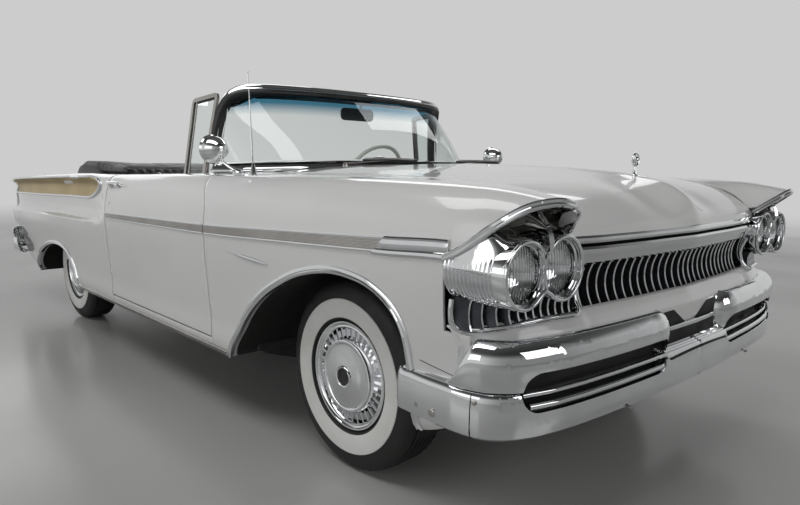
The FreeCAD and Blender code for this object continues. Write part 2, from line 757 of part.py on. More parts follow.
def fuel_tank():
    shape = block((frame_rear + 130, -320, 330), (rear_axle - 560, 320, rear_floor - size("seat_gap")))
    return shape.makeFillet(40, [edge for edge in shape.Edges
                                 if abs(edge.BoundBox.YLength - 640) < 1])


sub_part(fuel_tank(), "fuel_tank")


# ---- wheels, tyres and knuckles --------------------------------------------
def turned(profile, centre):
    """A solid turned about the line across the car through the centre."""
    edges = []
    for start, end, bulge in profile:
        a = Vector(start[1], start[0], 0)
        b = Vector(end[1], end[0], 0)
        if bulge is None:
            edges.append(Part.makeLine(a, b))
        else:
            edges.append(Part.Arc(a, Vector(bulge[1], bulge[0], 0), b).toShape())
    face = Part.Face(Part.Wire(edges))
    whole = face.revolve(Vector(0, 0, 0), Vector(0, 1, 0), 360)
    whole.translate(Vector(*centre))
    return whole


def tyre_profile():
    """Half-widths and radii round the tyre, as straight runs and arcs."""
    wide = size("tyre_width") / 2
    tread = size("tyre_radius")
    bead = size("rim_radius") + size("bead_gap")
    crown = wide - 22
    foot = size("rim_width") / 2 - 6
    mid = (bead + tread) / 2
    return [((-foot, bead), (foot, bead), None),
            ((foot, bead), (crown, tread - 9), (wide, mid)),
            ((crown, tread - 9), (-crown, tread - 9), (0, tread)),
            ((-crown, tread - 9), (-foot, bead), (-wide, mid))]


def wheel_profile():
    """Barrel, disc and drum in one turning, with the bore through the hub."""
    half = size("rim_width") / 2
    rim = size("rim_radius")
    wall = 8.0
    bore = size("stub_radius") + size("stub_gap")
    points = [(-half, rim), (half, rim), (half, rim - wall), (44, rim - wall), (44, bore),
              (-34, bore), (-34, 140), (26, 140), (26, rim - wall), (-half, rim - wall)]
    ring = points + points[:1]
    return [(a, b, None) for a, b in zip(ring, ring[1:])]


def knuckle(side):
    """The upright on the kingpin line with its stub axle and steering arm."""
    y = side * kingpin_y
    post = rod((front_axle, y, hub_z - post_half), (front_axle, y, hub_z + post_half),
               size("kingpin_radius"))
    stub = rod((front_axle, y, hub_z), (front_axle, side * (size("front_track") / 2 + 40), hub_z),
               size("stub_radius"))
    arm = rod((front_axle, y, hub_z - 70), (front_axle - 120, y - side * 60, hub_z - 70), 12)
    return joined([post, stub, arm])


for place, x, track in (("front", front_axle, "front_track"), ("rear", rear_axle, "rear_track")):
    for side, side_name in ((-1, "right"), (1, "left")):
        centre = (x, side * size(track) / 2, hub_z)
        tyre = turned(tyre_profile(), centre)
        sub_part(tyre, "%s_tyre_%s" % (place, side_name))
        rim = turned([((s[0] * side, s[1]), (e[0] * side, e[1]), None)
                      for s, e, _ in wheel_profile()], centre)
        sub_part(rim, "%s_wheel_%s" % (place, side_name))
        if place == "front":
            sub_part(knuckle(side), "knuckle_%s" % side_name)

# ---- bumpers ---------------------------------------------------------------
def bar_plan(nose, wrap_x, depth, outer_y, corner):
    """Half plan of a wrapping bumper bar, as the points of its outer line."""
    return [(nose, 0), (nose - 12, 420), (nose - 60, 760), (nose - 60 - corner, outer_y),
            (wrap_x, outer_y)]


def wrapped_bar(low, high, nose, wrap_x, depth, outer_y, corner, towards):
    outline = bar_plan(nose, wrap_x, depth, outer_y, corner)
    inside = [(nose - depth, 0), (nose - depth - 12, 420), (nose - depth - 40, 720),
              (nose - 60 - corner - depth * 0.4, outer_y - 70), (wrap_x, outer_y - 26)]
    half = [(towards * x, y) for x, y in outline + inside[::-1]]
    bar = prism(half, "z", low, high)
    return joined([bar, mirrored(bar)])


bar_low = size("bumper_bottom")
bar_high = bar_low + size("bumper_bar_height")
outer_y = half_width - 3
bar_inside_y = outer_y - 28


def front_bumper():
    depth = size("bumper_depth")
    bar = wrapped_bar(bar_low, bar_high, front_x, front_axle + size("bumper_wrap"), depth,
                      outer_y, 130, 1)
    parts = [bar]
    for side in (-1, 1):
        low, high = sorted((side * 290, side * (half_width - 60)))
        pod = region(front_x - 215, front_x - 30, low, high, bar_high - 1, size("pod_top"))
        mouth_low, mouth_high = sorted((side * 320, side * 620))
        mouth = region(front_x - 130, front_x, mouth_low, mouth_high, bar_high + 20,
                       size("pod_top") - 30)
        parts.append(pod.cut(mouth))
        arm_low, arm_high = sorted((side * (narrow_y - size("rail_width")), side * narrow_y))
        parts.append(region(frame_front + 0.3, front_x - depth + 10, arm_low, arm_high,
                            bar_low + 6, front_rail_low + size("rail_height")))
    return joined(parts)


front_bumper_shape = front_bumper()
pod_room = region(front_x - 223, front_x, -far, far, bar_low - 8, size("pod_top") + 8)
skirt_room = region(front_axle + size("bumper_wrap") - 8, front_x, -far, far, 0, bar_high + 8)
for piece in pieces:
    if piece.Label.startswith("front_fender"):
        piece.Shape = piece.Shape.cut(skirt_room).cut(pod_room)
sub_part(front_bumper_shape, "front_bumper")


def rear_bumper():
    low = size("rear_bumper_bottom")
    high = low + size("rear_bumper_height")
    bar = wrapped_bar(low, high, -rear_x, -(rear_x + 640), 120, outer_y, 120, -1)
    arms = []
    for side in (-1, 1):
        y_low, y_high = sorted((side * (narrow_y + 40 - size("rail_width")),
                                side * (narrow_y + 40)))
        arms.append(region(rear_x + 110, frame_rear - 0.3, y_low, y_high, rear_rail_low + 10,
                           rear_rail_low + 80))
    return joined([bar] + arms)


rear_bumper_shape = rear_bumper()
rear_room = region(-far, rear_x + 648, -far, far, 0,
                   size("rear_bumper_bottom") + size("rear_bumper_height") + 8)
for piece in pieces:
    if piece.Label.startswith("rear_quarter"):
        piece.Shape = piece.Shape.cut(rear_room)
sub_part(rear_bumper_shape, "rear_bumper")


# ---- lamps, grille and radiator --------------------------------------------
lamp_z = size("lamp_height")
lamp_face = front_x - 80
lamp_back = front_x - 290


def headlamp_pod(side):
    """Two round lamp barrels side by side in one casting."""
    shell = []
    core = []
    for y in (side * size("outer_lamp"), side * size("inner_lamp")):
        shell.append(rod((lamp_back, y, lamp_z), (lamp_face, y, lamp_z), size("lamp_radius")))
        core.append(rod((lamp_face - 60, y, lamp_z), (lamp_face + 10, y, lamp_z),
                        size("lamp_radius") - 12))
    low, high = sorted((side * size("outer_lamp"), side * size("inner_lamp")))
    shell.append(region(lamp_back, lamp_face, low, high, lamp_z - 60, lamp_z + 60))
    whole = joined(shell)
    for piece in core:
        whole = whole.cut(piece)
    return whole


pods = [headlamp_pod(side) for side in (-1, 1)]
pod_pair = Part.makeCompound(pods)
lamp_room = []
for side in (-1, 1):
    low, high = sorted((side * (size("inner_lamp") - size("lamp_radius") - 6), side * far))
    lamp_room.append(region(lamp_back - size("seat_gap"), front_x, low, high,
                            lamp_z - size("lamp_radius") - 8, lamp_z + size("lamp_radius") + 6))
for piece in pieces:
    if piece.Label.startswith("front_fender"):
        side = -1 if piece.Label.endswith("right") else 1
        low, high = sorted((side * 640, side * (half_width - 10)))
        plate = region(lamp_back - skin - size("seat_gap"), lamp_back - size("seat_gap"),
                       low, high, lamp_z - 130, belt_z).common(envelope)
        hood_side = region(-far, far, -size("hood_half_width") - gap,
                           size("hood_half_width") + gap, lamp_z + size("lamp_radius") - 30, far)
        piece.Shape = piece.Shape.fuse(plate.cut(hood_side)).removeSplitter()
    if piece.Label.startswith("front_fender") or piece.Label == "hood":
        for room in lamp_room:
            piece.Shape = piece.Shape.cut(room)
sub_part(pod_pair, "headlamp_pods")
lenses = []
for side in (-1, 1):
    for lamp in ("outer_lamp", "inner_lamp"):
        y = side * size(lamp)
        lenses.append(rod((lamp_face - 59.7, y, lamp_z), (lamp_face - 38, y, lamp_z),
                          size("lamp_radius") - 12.3))
sub_part(Part.makeCompound(lenses), "headlamp_lenses")


def grille():
    """A frame with upright bars across the nose between the lamps."""
    half = size("grille_half_width")
    back = front_x - 190
    face = front_x - 120
    low = size("pod_top") + size("seat_gap")
    high = size("grille_top")
    parts = [region(back, face, -half, half, high - 34, high),
             region(back, face, -half, half, low, low + 22)]
    count = int(2 * half / size("bar_pitch"))
    for n in range(count + 1):
        y = -half + size("bar_width") / 2 + n * (2 * half - size("bar_width")) / count
        parts.append(region(back + 10, face - 12, y - size("bar_width") / 2,
                            y + size("bar_width") / 2, low, high))
    return joined(parts)


sub_part(grille(), "grille")


def radiator():
    """The radiator core between its side plates, on the front cross beam."""
    core = region(front_x - 420, front_x - 360, -370, 370, 470, 900)
    foot = region(front_x - 450, front_x - 330, -narrow_y + 4, narrow_y - 4,
                  front_rail_low + size("rail_height") + 0.3, 470)
    panel = region(front_x - 400, front_x - 392, -fender_inner * -1 + 12, -fender_inner - 12,
                   front_rail_low + size("rail_height") + 40, 900)
    support = region(front_x - 400, front_x - 380, -660, 660, 480, 900)
    return joined([core, foot, support])


sub_part(radiator(), "radiator")


def tail_lamps():
    """A wedge lamp at the end of each quarter."""
    outline = [(tail_x - 0.5, 640), (tail_x - 0.5, 890), (tail_x - 60, 850), (tail_x - 60, 690)]
    lamp = prism(outline, "y", -half_width + 100, -half_width + 330)
    return Part.makeCompound([lamp, mirrored(lamp)])


sub_part(tail_lamps(), "tail_lamps")


# ---- small pieces that stand on the body -----------------------------------
def fender_mirror():
    x = front_axle - 640
    y = -half_width + 128
    foot_z = belt_z + 8
    head = Vector(x - 120, y - 32, size("mirror_height"))
    stem = rod((x, y, foot_z), tuple(head), 9)
    bowl = Part.makeCone(20, size("mirror_radius"), 60, head + Vector(40, 0, 0), Vector(-1, 0, 0))
    foot = Part.makeCylinder(26, 24, Vector(x, y, foot_z))
    return joined([stem, bowl, foot]).cut(right_fender)


mirror_shape = fender_mirror()
sub_part(Part.makeCompound([mirror_shape, mirrored(mirror_shape)]), "fender_mirrors")


def antenna():
    x = front_axle - 640
    y = -half_width + 186
    base = Part.makeCylinder(20, 60, Vector(x, y, belt_z))
    mast = rod((x, y, belt_z + 40), (x - 14, y, size("antenna_height")), 3)
    return joined([base, mast]).cut(right_fender).cut(cowl_shape)


sub_part(antenna(), "antenna")


def wipers():
    parts = []
    x = hood_rear - 16
    for y in (-380, 150):
        arm = rod((x, y, belt_z + 82), (x, y + 380, belt_z + 84), 5)
        post = Part.makeCylinder(9, 60, Vector(x, y, belt_z + 25)).cut(envelope)
        parts.append(joined([arm, post]))
    return Part.makeCompound(parts)


sub_part(wipers(), "wipers")

# ---- check everything and write the files ----------------------------------
doc.recompute()
for item in doc.Objects:
    if "Invalid" in item.State or "Error" in item.State:
        raise SystemExit("failed object: " + item.Label)
os.makedirs("parts", exist_ok=True)
for piece in pieces:
    shape = piece.Shape
    if shape.isNull() or not shape.isValid() or not shape.Solids:
        raise SystemExit("bad shape: " + piece.Label)
    shape.exportStep("parts/" + piece.Label + ".step")
    box = shape.BoundBox
    print("%-20s solids %d  x %6.0f %6.0f  y %6.0f %6.0f  z %6.0f %6.0f" % (
        piece.Label, len(shape.Solids), box.XMin, box.XMax, box.YMin, box.YMax, box.ZMin,
        box.ZMax))
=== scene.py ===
import json
import math

import bmesh
import bpy
from mathutils import Matrix, Vector
from mathutils.bvhtree import BVHTree

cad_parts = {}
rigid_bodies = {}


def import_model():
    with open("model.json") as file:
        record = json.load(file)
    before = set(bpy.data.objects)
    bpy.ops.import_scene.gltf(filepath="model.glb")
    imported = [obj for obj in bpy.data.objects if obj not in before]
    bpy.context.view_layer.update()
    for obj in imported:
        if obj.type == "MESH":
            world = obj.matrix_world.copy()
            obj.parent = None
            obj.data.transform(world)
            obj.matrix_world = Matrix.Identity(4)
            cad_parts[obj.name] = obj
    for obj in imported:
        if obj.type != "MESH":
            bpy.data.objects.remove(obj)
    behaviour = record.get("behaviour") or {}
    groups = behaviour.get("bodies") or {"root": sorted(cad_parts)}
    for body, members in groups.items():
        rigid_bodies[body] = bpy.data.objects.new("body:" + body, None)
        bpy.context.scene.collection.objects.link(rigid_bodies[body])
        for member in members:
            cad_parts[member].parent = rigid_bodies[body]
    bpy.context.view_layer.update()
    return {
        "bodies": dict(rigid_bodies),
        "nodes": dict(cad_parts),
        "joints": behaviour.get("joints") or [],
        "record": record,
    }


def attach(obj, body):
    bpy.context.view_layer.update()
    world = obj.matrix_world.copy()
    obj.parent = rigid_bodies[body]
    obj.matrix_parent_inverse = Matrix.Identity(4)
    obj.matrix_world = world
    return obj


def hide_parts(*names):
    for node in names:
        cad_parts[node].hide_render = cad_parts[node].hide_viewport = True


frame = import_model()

# A fifties convertible in white, built over the frame's bodies, in metres.
# The nose is at plus x and the car's right side at minus y; a table's x runs from front to rear.

camera = {
    "place": (3.539, -2.213, 1.095), "yaw": 137.17, "pitch": 8.85, "roll": 0.71,
    "lens": 28.94, "sensor": 36.0, "shiftY": 0.0175,
}


def placeCamera():
    yaw, pitch, roll = (math.radians(camera[k]) for k in ("yaw", "pitch", "roll"))
    ahead = Vector((math.cos(yaw) * math.cos(pitch), math.sin(yaw) * math.cos(pitch),
                    -math.sin(pitch)))
    right = Vector((math.sin(yaw), -math.cos(yaw), 0))
    up = right.cross(ahead)
    turned = right * math.cos(roll) + up * math.sin(roll)
    raised = up * math.cos(roll) - right * math.sin(roll)
    lensData = bpy.data.cameras.new("mainCamera")
    lensData.lens = camera["lens"]
    lensData.sensor_width = camera["sensor"]
    lensData.shift_y = camera["shiftY"]
    holder = bpy.data.objects.new("mainCamera", lensData)
    grid = Matrix((turned, raised, -ahead)).transposed().to_4x4()
    grid.translation = Vector(camera["place"])
    holder.matrix_world = grid
    bpy.context.scene.collection.objects.link(holder)
    bpy.context.scene.camera = holder


placeCamera()
bpy.context.scene.view_settings.view_transform = "Standard"
print("stage: camera placed")


# finishes: materials mixed from two shared node groups
def addNode(tree, kind, inputs=None, **settings):
    node = tree.nodes.new("ShaderNode" + kind)
    for label, value in settings.items():
        setattr(node, label, value)
    for label, value in (inputs or {}).items():
        node.inputs[label].default_value = value
    return node


def wire(tree, *joins):  # each join is a node and its output, then a node and its input
    for source, output, sink, label in joins:
        tree.links.new(source.outputs[output], sink.inputs[label])


def makeGroup(name, inputs, outputs):
    group = bpy.data.node_groups.new(name, "ShaderNodeTree")
    for label, kind, value in inputs:
        socket = group.interface.new_socket(name=label, in_out="INPUT",
                                            socket_type="NodeSocket" + kind)
        if value is not None:
            socket.default_value = value
    for label, kind in outputs:
        group.interface.new_socket(name=label, in_out="OUTPUT", socket_type="NodeSocket" + kind)
    return group, group.nodes.new("NodeGroupInput"), group.nodes.new("NodeGroupOutput")


def mottleGroup():  # two tones and two roughnesses, mixed by layered noise
    group, source, sink = makeGroup("mottle", [
        ("Vector", "Vector", None), ("Scale", "Float", 8.0), ("Clean", "Color", (1, 1, 1, 1)),
        ("Worn", "Color", (1, 1, 1, 1)), ("Smooth", "Float", 0.2), ("Rough", "Float", 0.4)],
        [("Color", "Color"), ("Roughness", "Float")])
    broad = addNode(group, "TexNoise", {"Detail": 5.0})
    spread = addNode(group, "MapRange", {"From Min": 0.38, "From Max": 0.66})
    tone = addNode(group, "Mix", data_type="RGBA")
    gloss = addNode(group, "MapRange")
    wire(group, (source, "Vector", broad, "Vector"), (source, "Scale", broad, "Scale"),
         (broad, "Fac", spread, "Value"), (spread, "Result", tone, "Factor"),
         (source, "Clean", tone, "A"), (source, "Worn", tone, "B"),
         (spread, "Result", gloss, "Value"), (source, "Smooth", gloss, "To Min"),
         (source, "Rough", gloss, "To Max"), (tone, "Result", sink, "Color"),
         (gloss, "Result", sink, "Roughness"))
    return group


def grainGroup():  # a height for leather, vinyl and castings: cells under fine noise
    group, source, sink = makeGroup("grain", [
        ("Vector", "Vector", None), ("Scale", "Float", 300.0), ("Cells", "Float", 0.5)],
        [("Height", "Float")])
    cells = addNode(group, "TexVoronoi", feature="DISTANCE_TO_EDGE")
    fine = addNode(group, "TexNoise", {"Detail": 3.0})
    capped = addNode(group, "Math", {1: 0.18}, operation="MINIMUM")
    blend = addNode(group, "Mix")
    wire(group, (source, "Vector", cells, "Vector"), (source, "Scale", cells, "Scale"),
         (source, "Vector", fine, "Vector"), (source, "Scale", fine, "Scale"),
         (cells, "Distance", capped, 0), (source, "Cells", blend, "Factor"),
         (fine, "Fac", blend, "A"), (capped, "Value", blend, "B"),
         (blend, "Result", sink, "Height"))
    return group


mottle = mottleGroup()
grain = grainGroup()


def newMaterial(name):
    material = bpy.data.materials.new(name)
    material.use_nodes = True
    return material, material.node_tree, material.node_tree.nodes["Principled BSDF"]


def addRelief(material, kind, inputs, output, depth, **settings):  # a height pressed into it
    tree = material.node_tree
    place = tree.nodes.get("Texture Coordinate") or addNode(tree, "TexCoord")
    relief = addNode(tree, kind, inputs, **settings)
    press = addNode(tree, "Bump", {"Distance": depth})
    wire(tree, (place, "Object", relief, "Vector"), (relief, output, press, "Height"),
         (press, "Normal", tree.nodes["Principled BSDF"], "Normal"))
    return material


def grained(material, scale, cells, depth):  # a skin, or small waves where cells is 0
    return addRelief(material, "Group", {"Scale": scale, "Cells": cells}, "Height", depth,
                     node_tree=grain)


def ribbed(material, axis, pitch, depth):  # fine ribs, pitch metres apart
    return addRelief(material, "TexWave", {"Scale": 0.314 / pitch}, "Fac", depth,
                     bands_direction=axis)


def finish(name, clean, worn, gloss, scale=6.0, metallic=0.0, bump=None, **sockets):
    # clean and worn tones, a pair of roughnesses, and bump as (scale, cells, depth)
    material, tree, shader = newMaterial(name)
    place = addNode(tree, "TexCoord")
    tones = addNode(tree, "Group", {"Scale": scale, "Clean": (*clean, 1), "Worn": (*worn, 1),
                                    "Smooth": gloss[0], "Rough": gloss[1]}, node_tree=mottle)
    wire(tree, (place, "Object", tones, "Vector"), (tones, "Color", shader, "Base Color"),
         (tones, "Roughness", shader, "Roughness"))
    shader.inputs["Metallic"].default_value = metallic
    for label, value in sockets.items():
        shader.inputs[label.replace("_", " ")].default_value = value
    return grained(material, *bump) if bump else material


paint = finish("whitePaint", (0.80, 0.80, 0.79), (0.77, 0.77, 0.765), (0.20, 0.26), 2.5,
               bump=(14.0, 0.0, 0.0004), Coat_Weight=1.0, Coat_Roughness=0.03)
chrome = finish("chromePlate", (0.83, 0.84, 0.85), (0.78, 0.79, 0.81), (0.02, 0.07), 9.0, 1.0)
# a darker copy of the chrome: painted shade and dark reflection for the hollow under the brow
browHollowShadeChrome = finish("shadedChrome", (0.34, 0.34, 0.33), (0.24, 0.24, 0.23), (0.06, 0.16), 14.0,
                    1.0)
satinSteel = finish("satinSteel", (0.52, 0.50, 0.48), (0.46, 0.44, 0.42), (0.16, 0.24), 5.0, 1.0)
goldPanel = finish("goldPanel", (0.56, 0.43, 0.21), (0.50, 0.38, 0.185), (0.34, 0.42), 4.0, 0.8,
                   bump=(420.0, 0.6, 0.0002))
blackPaint = finish("blackPaint", (0.012, 0.012, 0.013), (0.03, 0.03, 0.03), (0.30, 0.55), 10.0)
# one black for the dark slots and joints, and as painted shade on the sheets behind the grille and
# bumper openings
slotAndShadeBlack = finish("slotAndShadeBlack", (0.006, 0.006, 0.007), (0.014, 0.014, 0.015), (0.5, 0.8), 9.0)
# a dark half-metal copy of the bright work: painted shade on the fins' faces set back between the
# bars
finDepthShade = finish("finDepthShade", (0.10, 0.105, 0.12), (0.05, 0.052, 0.06), (0.25, 0.40), 18.0, 0.6)
rubber = finish("tyreRubber", (0.011, 0.011, 0.012), (0.024, 0.023, 0.022), (0.50, 0.72), 14.0,
                bump=(260.0, 0.2, 0.0008))
whitewall = finish("whitewall", (0.86, 0.86, 0.84), (0.80, 0.79, 0.76), (0.40, 0.55), 10.0,
                   bump=(180.0, 0.1, 0.0004))
gasket = finish("gasketRubber", (0.02, 0.02, 0.02), (0.05, 0.05, 0.05), (0.5, 0.7), 20.0)
vinylBlack = finish("pleatedVinyl", (0.016, 0.016, 0.018), (0.040, 0.038, 0.038), (0.34, 0.52),
                    9.0, bump=(520.0, 0.7, 0.0007))
vinylWhite = finish("paleVinyl", (0.74, 0.73, 0.70), (0.64, 0.62, 0.58), (0.36, 0.50), 8.0,
                    bump=(480.0, 0.7, 0.0006))
carpet = finish("carpet", (0.030, 0.029, 0.031), (0.070, 0.066, 0.068), (0.85, 0.98), 60.0,
                bump=(900.0, 0.0, 0.003), Sheen_Weight=0.3)
underseal = finish("underseal", (0.010, 0.010, 0.011), (0.026, 0.024, 0.022), (0.70, 0.95), 12.0,
                   bump=(160.0, 0.4, 0.0018))
castIron = finish("engineCasting", (0.10, 0.11, 0.12), (0.17, 0.15, 0.12), (0.45, 0.70), 16.0, 0.5,
                  bump=(240.0, 0.3, 0.001))
pipeSteel = finish("exhaustSteel", (0.28, 0.27, 0.26), (0.20, 0.13, 0.085), (0.35, 0.70), 15.0,
                   0.9, bump=(200.0, 0.1, 0.0006))
wheelPlastic = finish("wheelPlastic", (0.78, 0.77, 0.73), (0.68, 0.66, 0.60), (0.16, 0.28), 9.0,
                      Coat_Weight=0.5, Coat_Roughness=0.08)
redLens = finish("redLens", (0.50, 0.012, 0.010), (0.30, 0.006, 0.006), (0.06, 0.14), 24.0,
                 Transmission_Weight=0.25, Coat_Weight=1.0)


glass = {"ior": 1.45, "clear": (0.93, 0.97, 0.96), "band": (0.07, 0.25, 0.37),
         "bandFrom": 1.325, "bandTo": 1.385}


def glassFinish(name, tint):
    material, _, shader = newMaterial(name)
    for label, value in (("Base Color", (*tint, 1)), ("Roughness", 0.0), ("IOR", glass["ior"]),
                         ("Transmission Weight", 1.0)):
        shader.inputs[label].default_value = value
    return material


def shadedPane():  # clear glass with a blue band that fades down from the header
    material = grained(glassFinish("windshieldPane", glass["clear"]), 3.0, 0.0, 0.0002)
    tree = material.node_tree
    place = addNode(tree, "TexCoord")
    parts = addNode(tree, "SeparateXYZ")
    band = addNode(tree, "MapRange", {"From Min": glass["bandFrom"], "From Max": glass["bandTo"]})
    tone = addNode(tree, "Mix", {"A": (*glass["clear"], 1), "B": (*glass["band"], 1)},
                   data_type="RGBA")
    wire(tree, (place, "Object", parts, "Vector"), (parts, "Z", band, "Value"),
         (band, "Result", tone, "Factor"),
         (tone, "Result", tree.nodes["Principled BSDF"], "Base Color"))
    return material


clearGlass = grained(glassFinish("ventGlass", (0.90, 0.95, 0.94)), 4.0, 0.0, 0.0002)
tintedGlass = shadedPane()
lampGlass = ribbed(glassFinish("flutedLamp", (0.97, 0.98, 0.98)), "Y", 0.011, 0.0007)
mirrorGlass = finish("mirrorGlass", (0.90, 0.91, 0.92), (0.87, 0.88, 0.90), (0.01, 0.02), 5.0, 1.0)
print("stage: finishes mixed")


# stage and light
studio = {
    "floorTone": (0.54, 0.54, 0.53), "wallTone": (0.60, 0.605, 0.60), "floorHalf": 30.0,
    "fadeFrom": 5.5, "fadeTo": 17.0, "topPower": 70.0, "sidePower": 34.0, "ceiling": 0.10,
    "frontShare": 0.38,
}


def dimAhead(tree):  # the room is dimmer in front of the car
    return addNode(tree, "MapRange", {"From Min": 0.05, "From Max": 0.95, "To Min": 1.0,
                                      "To Max": studio["frontShare"]},
                   interpolation_type="SMOOTHSTEP")


def floorMaterial():  # polished near the car, and further off as bright as the walls
    tone = studio["floorTone"]
    material = finish("polishedFloor", tone, tuple(c * 0.93 for c in tone), (0.17, 0.25), 0.8)
    tree = material.node_tree
    out = next(n for n in tree.nodes if n.type == "OUTPUT_MATERIAL")
    wall = addNode(tree, "Emission", {"Color": (*studio["wallTone"], 1)})
    place = addNode(tree, "TexCoord")
    reach = addNode(tree, "VectorMath", operation="LENGTH")
    fade = addNode(tree, "MapRange", {"From Min": studio["fadeFrom"],
                                      "From Max": studio["fadeTo"]},
                   interpolation_type="SMOOTHSTEP")
    blend = addNode(tree, "MixShader")
    aim = addNode(tree, "VectorMath", operation="NORMALIZE")
    parts = addNode(tree, "SeparateXYZ")
    ahead = dimAhead(tree)
    wire(tree, (place, "Object", reach, 0), (place, "Object", aim, 0),
         (aim, "Vector", parts, "Vector"), (parts, "X", ahead, "Value"),
         (ahead, "Result", wall, "Strength"), (reach, "Value", fade, "Value"),
         (fade, "Result", blend, "Fac"), (tree.nodes["Principled BSDF"], "BSDF", blend, 1),
         (wall, "Emission", blend, 2), (blend, "Shader", out, "Surface"))
    return material


def buildStage():
    bm = bmesh.new()
    bmesh.ops.create_grid(bm, x_segments=2, y_segments=2, size=studio["floorHalf"])
    mesh = bpy.data.meshes.new("studioFloor")
    bm.to_mesh(mesh)
    bm.free()
    floor = bpy.data.objects.new("studioFloor", mesh)
    bpy.context.scene.collection.objects.link(floor)
    mesh.materials.append(floorMaterial())


def buildWorld():  # pale walls up to above eye height, a dim ceiling over them
    world = bpy.data.worlds.new("studioAir")
    bpy.context.scene.world = world
    world.use_nodes = True
    tree = world.node_tree
    place = addNode(tree, "TexCoord")
    parts = addNode(tree, "SeparateXYZ")
    bands = addNode(tree, "ValToRGB")
    wall, dim = studio["wallTone"], studio["ceiling"]
    stops = [(0.0, 1.0), (0.30, 1.0), (0.42, 0.55), (0.50, dim * 2), (0.62, dim), (1.0, dim * 1.5)]
    while len(bands.color_ramp.elements) < len(stops):
        bands.color_ramp.elements.new(0.5)
    for element, (spot, share) in zip(bands.color_ramp.elements, stops):
        element.position = spot
        element.color = (wall[0] * share, wall[1] * share, wall[2] * share, 1)
    ahead = dimAhead(tree)
    sky = tree.nodes["Background"]
    wire(tree, (place, "Generated", parts, "Vector"), (parts, "Z", bands, "Fac"),
         (parts, "X", ahead, "Value"), (bands, "Color", sky, "Color"),
         (ahead, "Result", sky, "Strength"))


def softLight(name, place, aim, width, height, power):
    data = bpy.data.lights.new(name, "AREA")
    data.shape = "RECTANGLE"
    data.size = width
    data.size_y = height
    data.energy = power
    lamp = bpy.data.objects.new(name, data)
    lamp.location = place
    lamp.rotation_euler = (Vector(aim) - Vector(place)).to_track_quat("-Z", "Y").to_euler()
    bpy.context.scene.collection.objects.link(lamp)


buildStage()
buildWorld()
softLight("topNear", (1.2, -2.6, 4.2), (0.6, -0.4, 0.6), 5.0, 1.6, studio["topPower"])
softLight("topFar", (-1.0, 2.6, 4.2), (-0.2, 0.2, 0.6), 5.0, 1.6, studio["topPower"] * 0.7)
softLight("frontFill", (6.5, 0.5, 2.6), (1.5, 0.0, 0.6), 3.0, 2.0, studio["sidePower"])
softLight("sideFill", (0.5, -7.0, 2.4), (0.0, 0.0, 0.6), 6.0, 2.0, studio["sidePower"])
softLight("rearFill", (-7.0, 1.0, 3.0), (-1.5, 0.0, 0.6), 4.0, 2.0, studio["sidePower"] * 0.6)
print("stage: floor and lights set")


# shaping helpers
def mapGrid(bm, alongSteps, acrossSteps, place):  # a grid bent into a surface by place(u, v)
    made = bmesh.ops.create_grid(bm, x_segments=alongSteps, y_segments=acrossSteps, size=0.5)
    for vert in made["verts"]:
        vert.co = place(vert.co.x + 0.5, vert.co.y + 0.5)
    return made["verts"]


def smoothLine(points, steps):  # a smooth line through points, with steps parts per span
    points = [Vector(p) for p in points]
    if len(points) == 2:
        return [points[0].lerp(points[1], k / steps) for k in range(steps + 1)]
    spans = [(b - a).length or 1e-6 for a, b in zip(points, points[1:])]
    slopes = []
    for k, point in enumerate(points):
        if k == 0:
            slope = (points[1] - point) / spans[0]
        elif k == len(points) - 1:
            slope = (point - points[k - 1]) / spans[k - 1]
        else:
            before = (point - points[k - 1]) / spans[k - 1]
            after = (points[k + 1] - point) / spans[k]
            slope = (before * spans[k] + after * spans[k - 1]) / (spans[k] + spans[k - 1])
        slopes.append(slope)
    line = []
    for k, span in enumerate(spans):
        for step in range(steps):
            t = step / steps
            line.append(hermite(points[k], points[k + 1], slopes[k] * span, slopes[k + 1] * span,
                                t))
    line.append(points[-1])
    return line


def hermite(a, b, slopeA, slopeB, t):
    return (a * (2 * t ** 3 - 3 * t ** 2 + 1) + slopeA * (t ** 3 - 2 * t ** 2 + t)
            + b * (3 * t ** 2 - 2 * t ** 3) + slopeB * (t ** 3 - t ** 2))


def curveAt(table, x):  # a row of (x, value...) read at x with a smooth line between entries
    if x >= table[0][0]:
        return Vector(table[0][1:])
    if x <= table[-1][0]:
        return Vector(table[-1][1:])
    k = next(i for i in range(len(table) - 1) if table[i][0] >= x >= table[i + 1][0])
    span = table[k + 1][0] - table[k][0]

    def rise(i):
        return (Vector(table[i + 1][1:]) - Vector(table[i][1:])) / (table[i + 1][0] - table[i][0])

    def slope(i):  # never steeper than its neighbours allow, so that a line does not overshoot
        if i == 0 or i == len(table) - 1:
            return rise(min(i, len(table) - 2))
        left = table[i - 1][0] - table[i][0]
        right = table[i][0] - table[i + 1][0]
        lean = []
        for a, b in zip(rise(i - 1), rise(i)):
            if a * b <= 0:
                lean.append(0.0)
            else:
                lean.append(3 * (left + right) / ((2 * right + left) / a + (right + 2 * left) / b))
        return Vector(lean)

    t = (x - table[k][0]) / span
    return hermite(Vector(table[k][1:]), Vector(table[k + 1][1:]), slope(k) * span,
                   slope(k + 1) * span, t)


def levelAt(table, x):  # the same for a row of (x, one value)
    return curveAt([(at, value, 0.0) for at, value in table], x)[0]


def ramp(value, low, high):  # a smooth step from 0 to 1
    t = min(max((value - low) / (high - low), 0.0), 1.0)
    return t * t * (3 - 2 * t)


def evenly(start, span, parts):  # parts + 1 places from start to start + span
    return [start + span * k / parts for k in range(parts + 1)]


def straightAt(table, at):  # a row of (place, value) read with straight lines between entries
    for (a, low), (b, high) in zip(table, table[1:]):
        if at <= b:
            return low + (high - low) * (at - a) / (b - a)
    return table[-1][1]


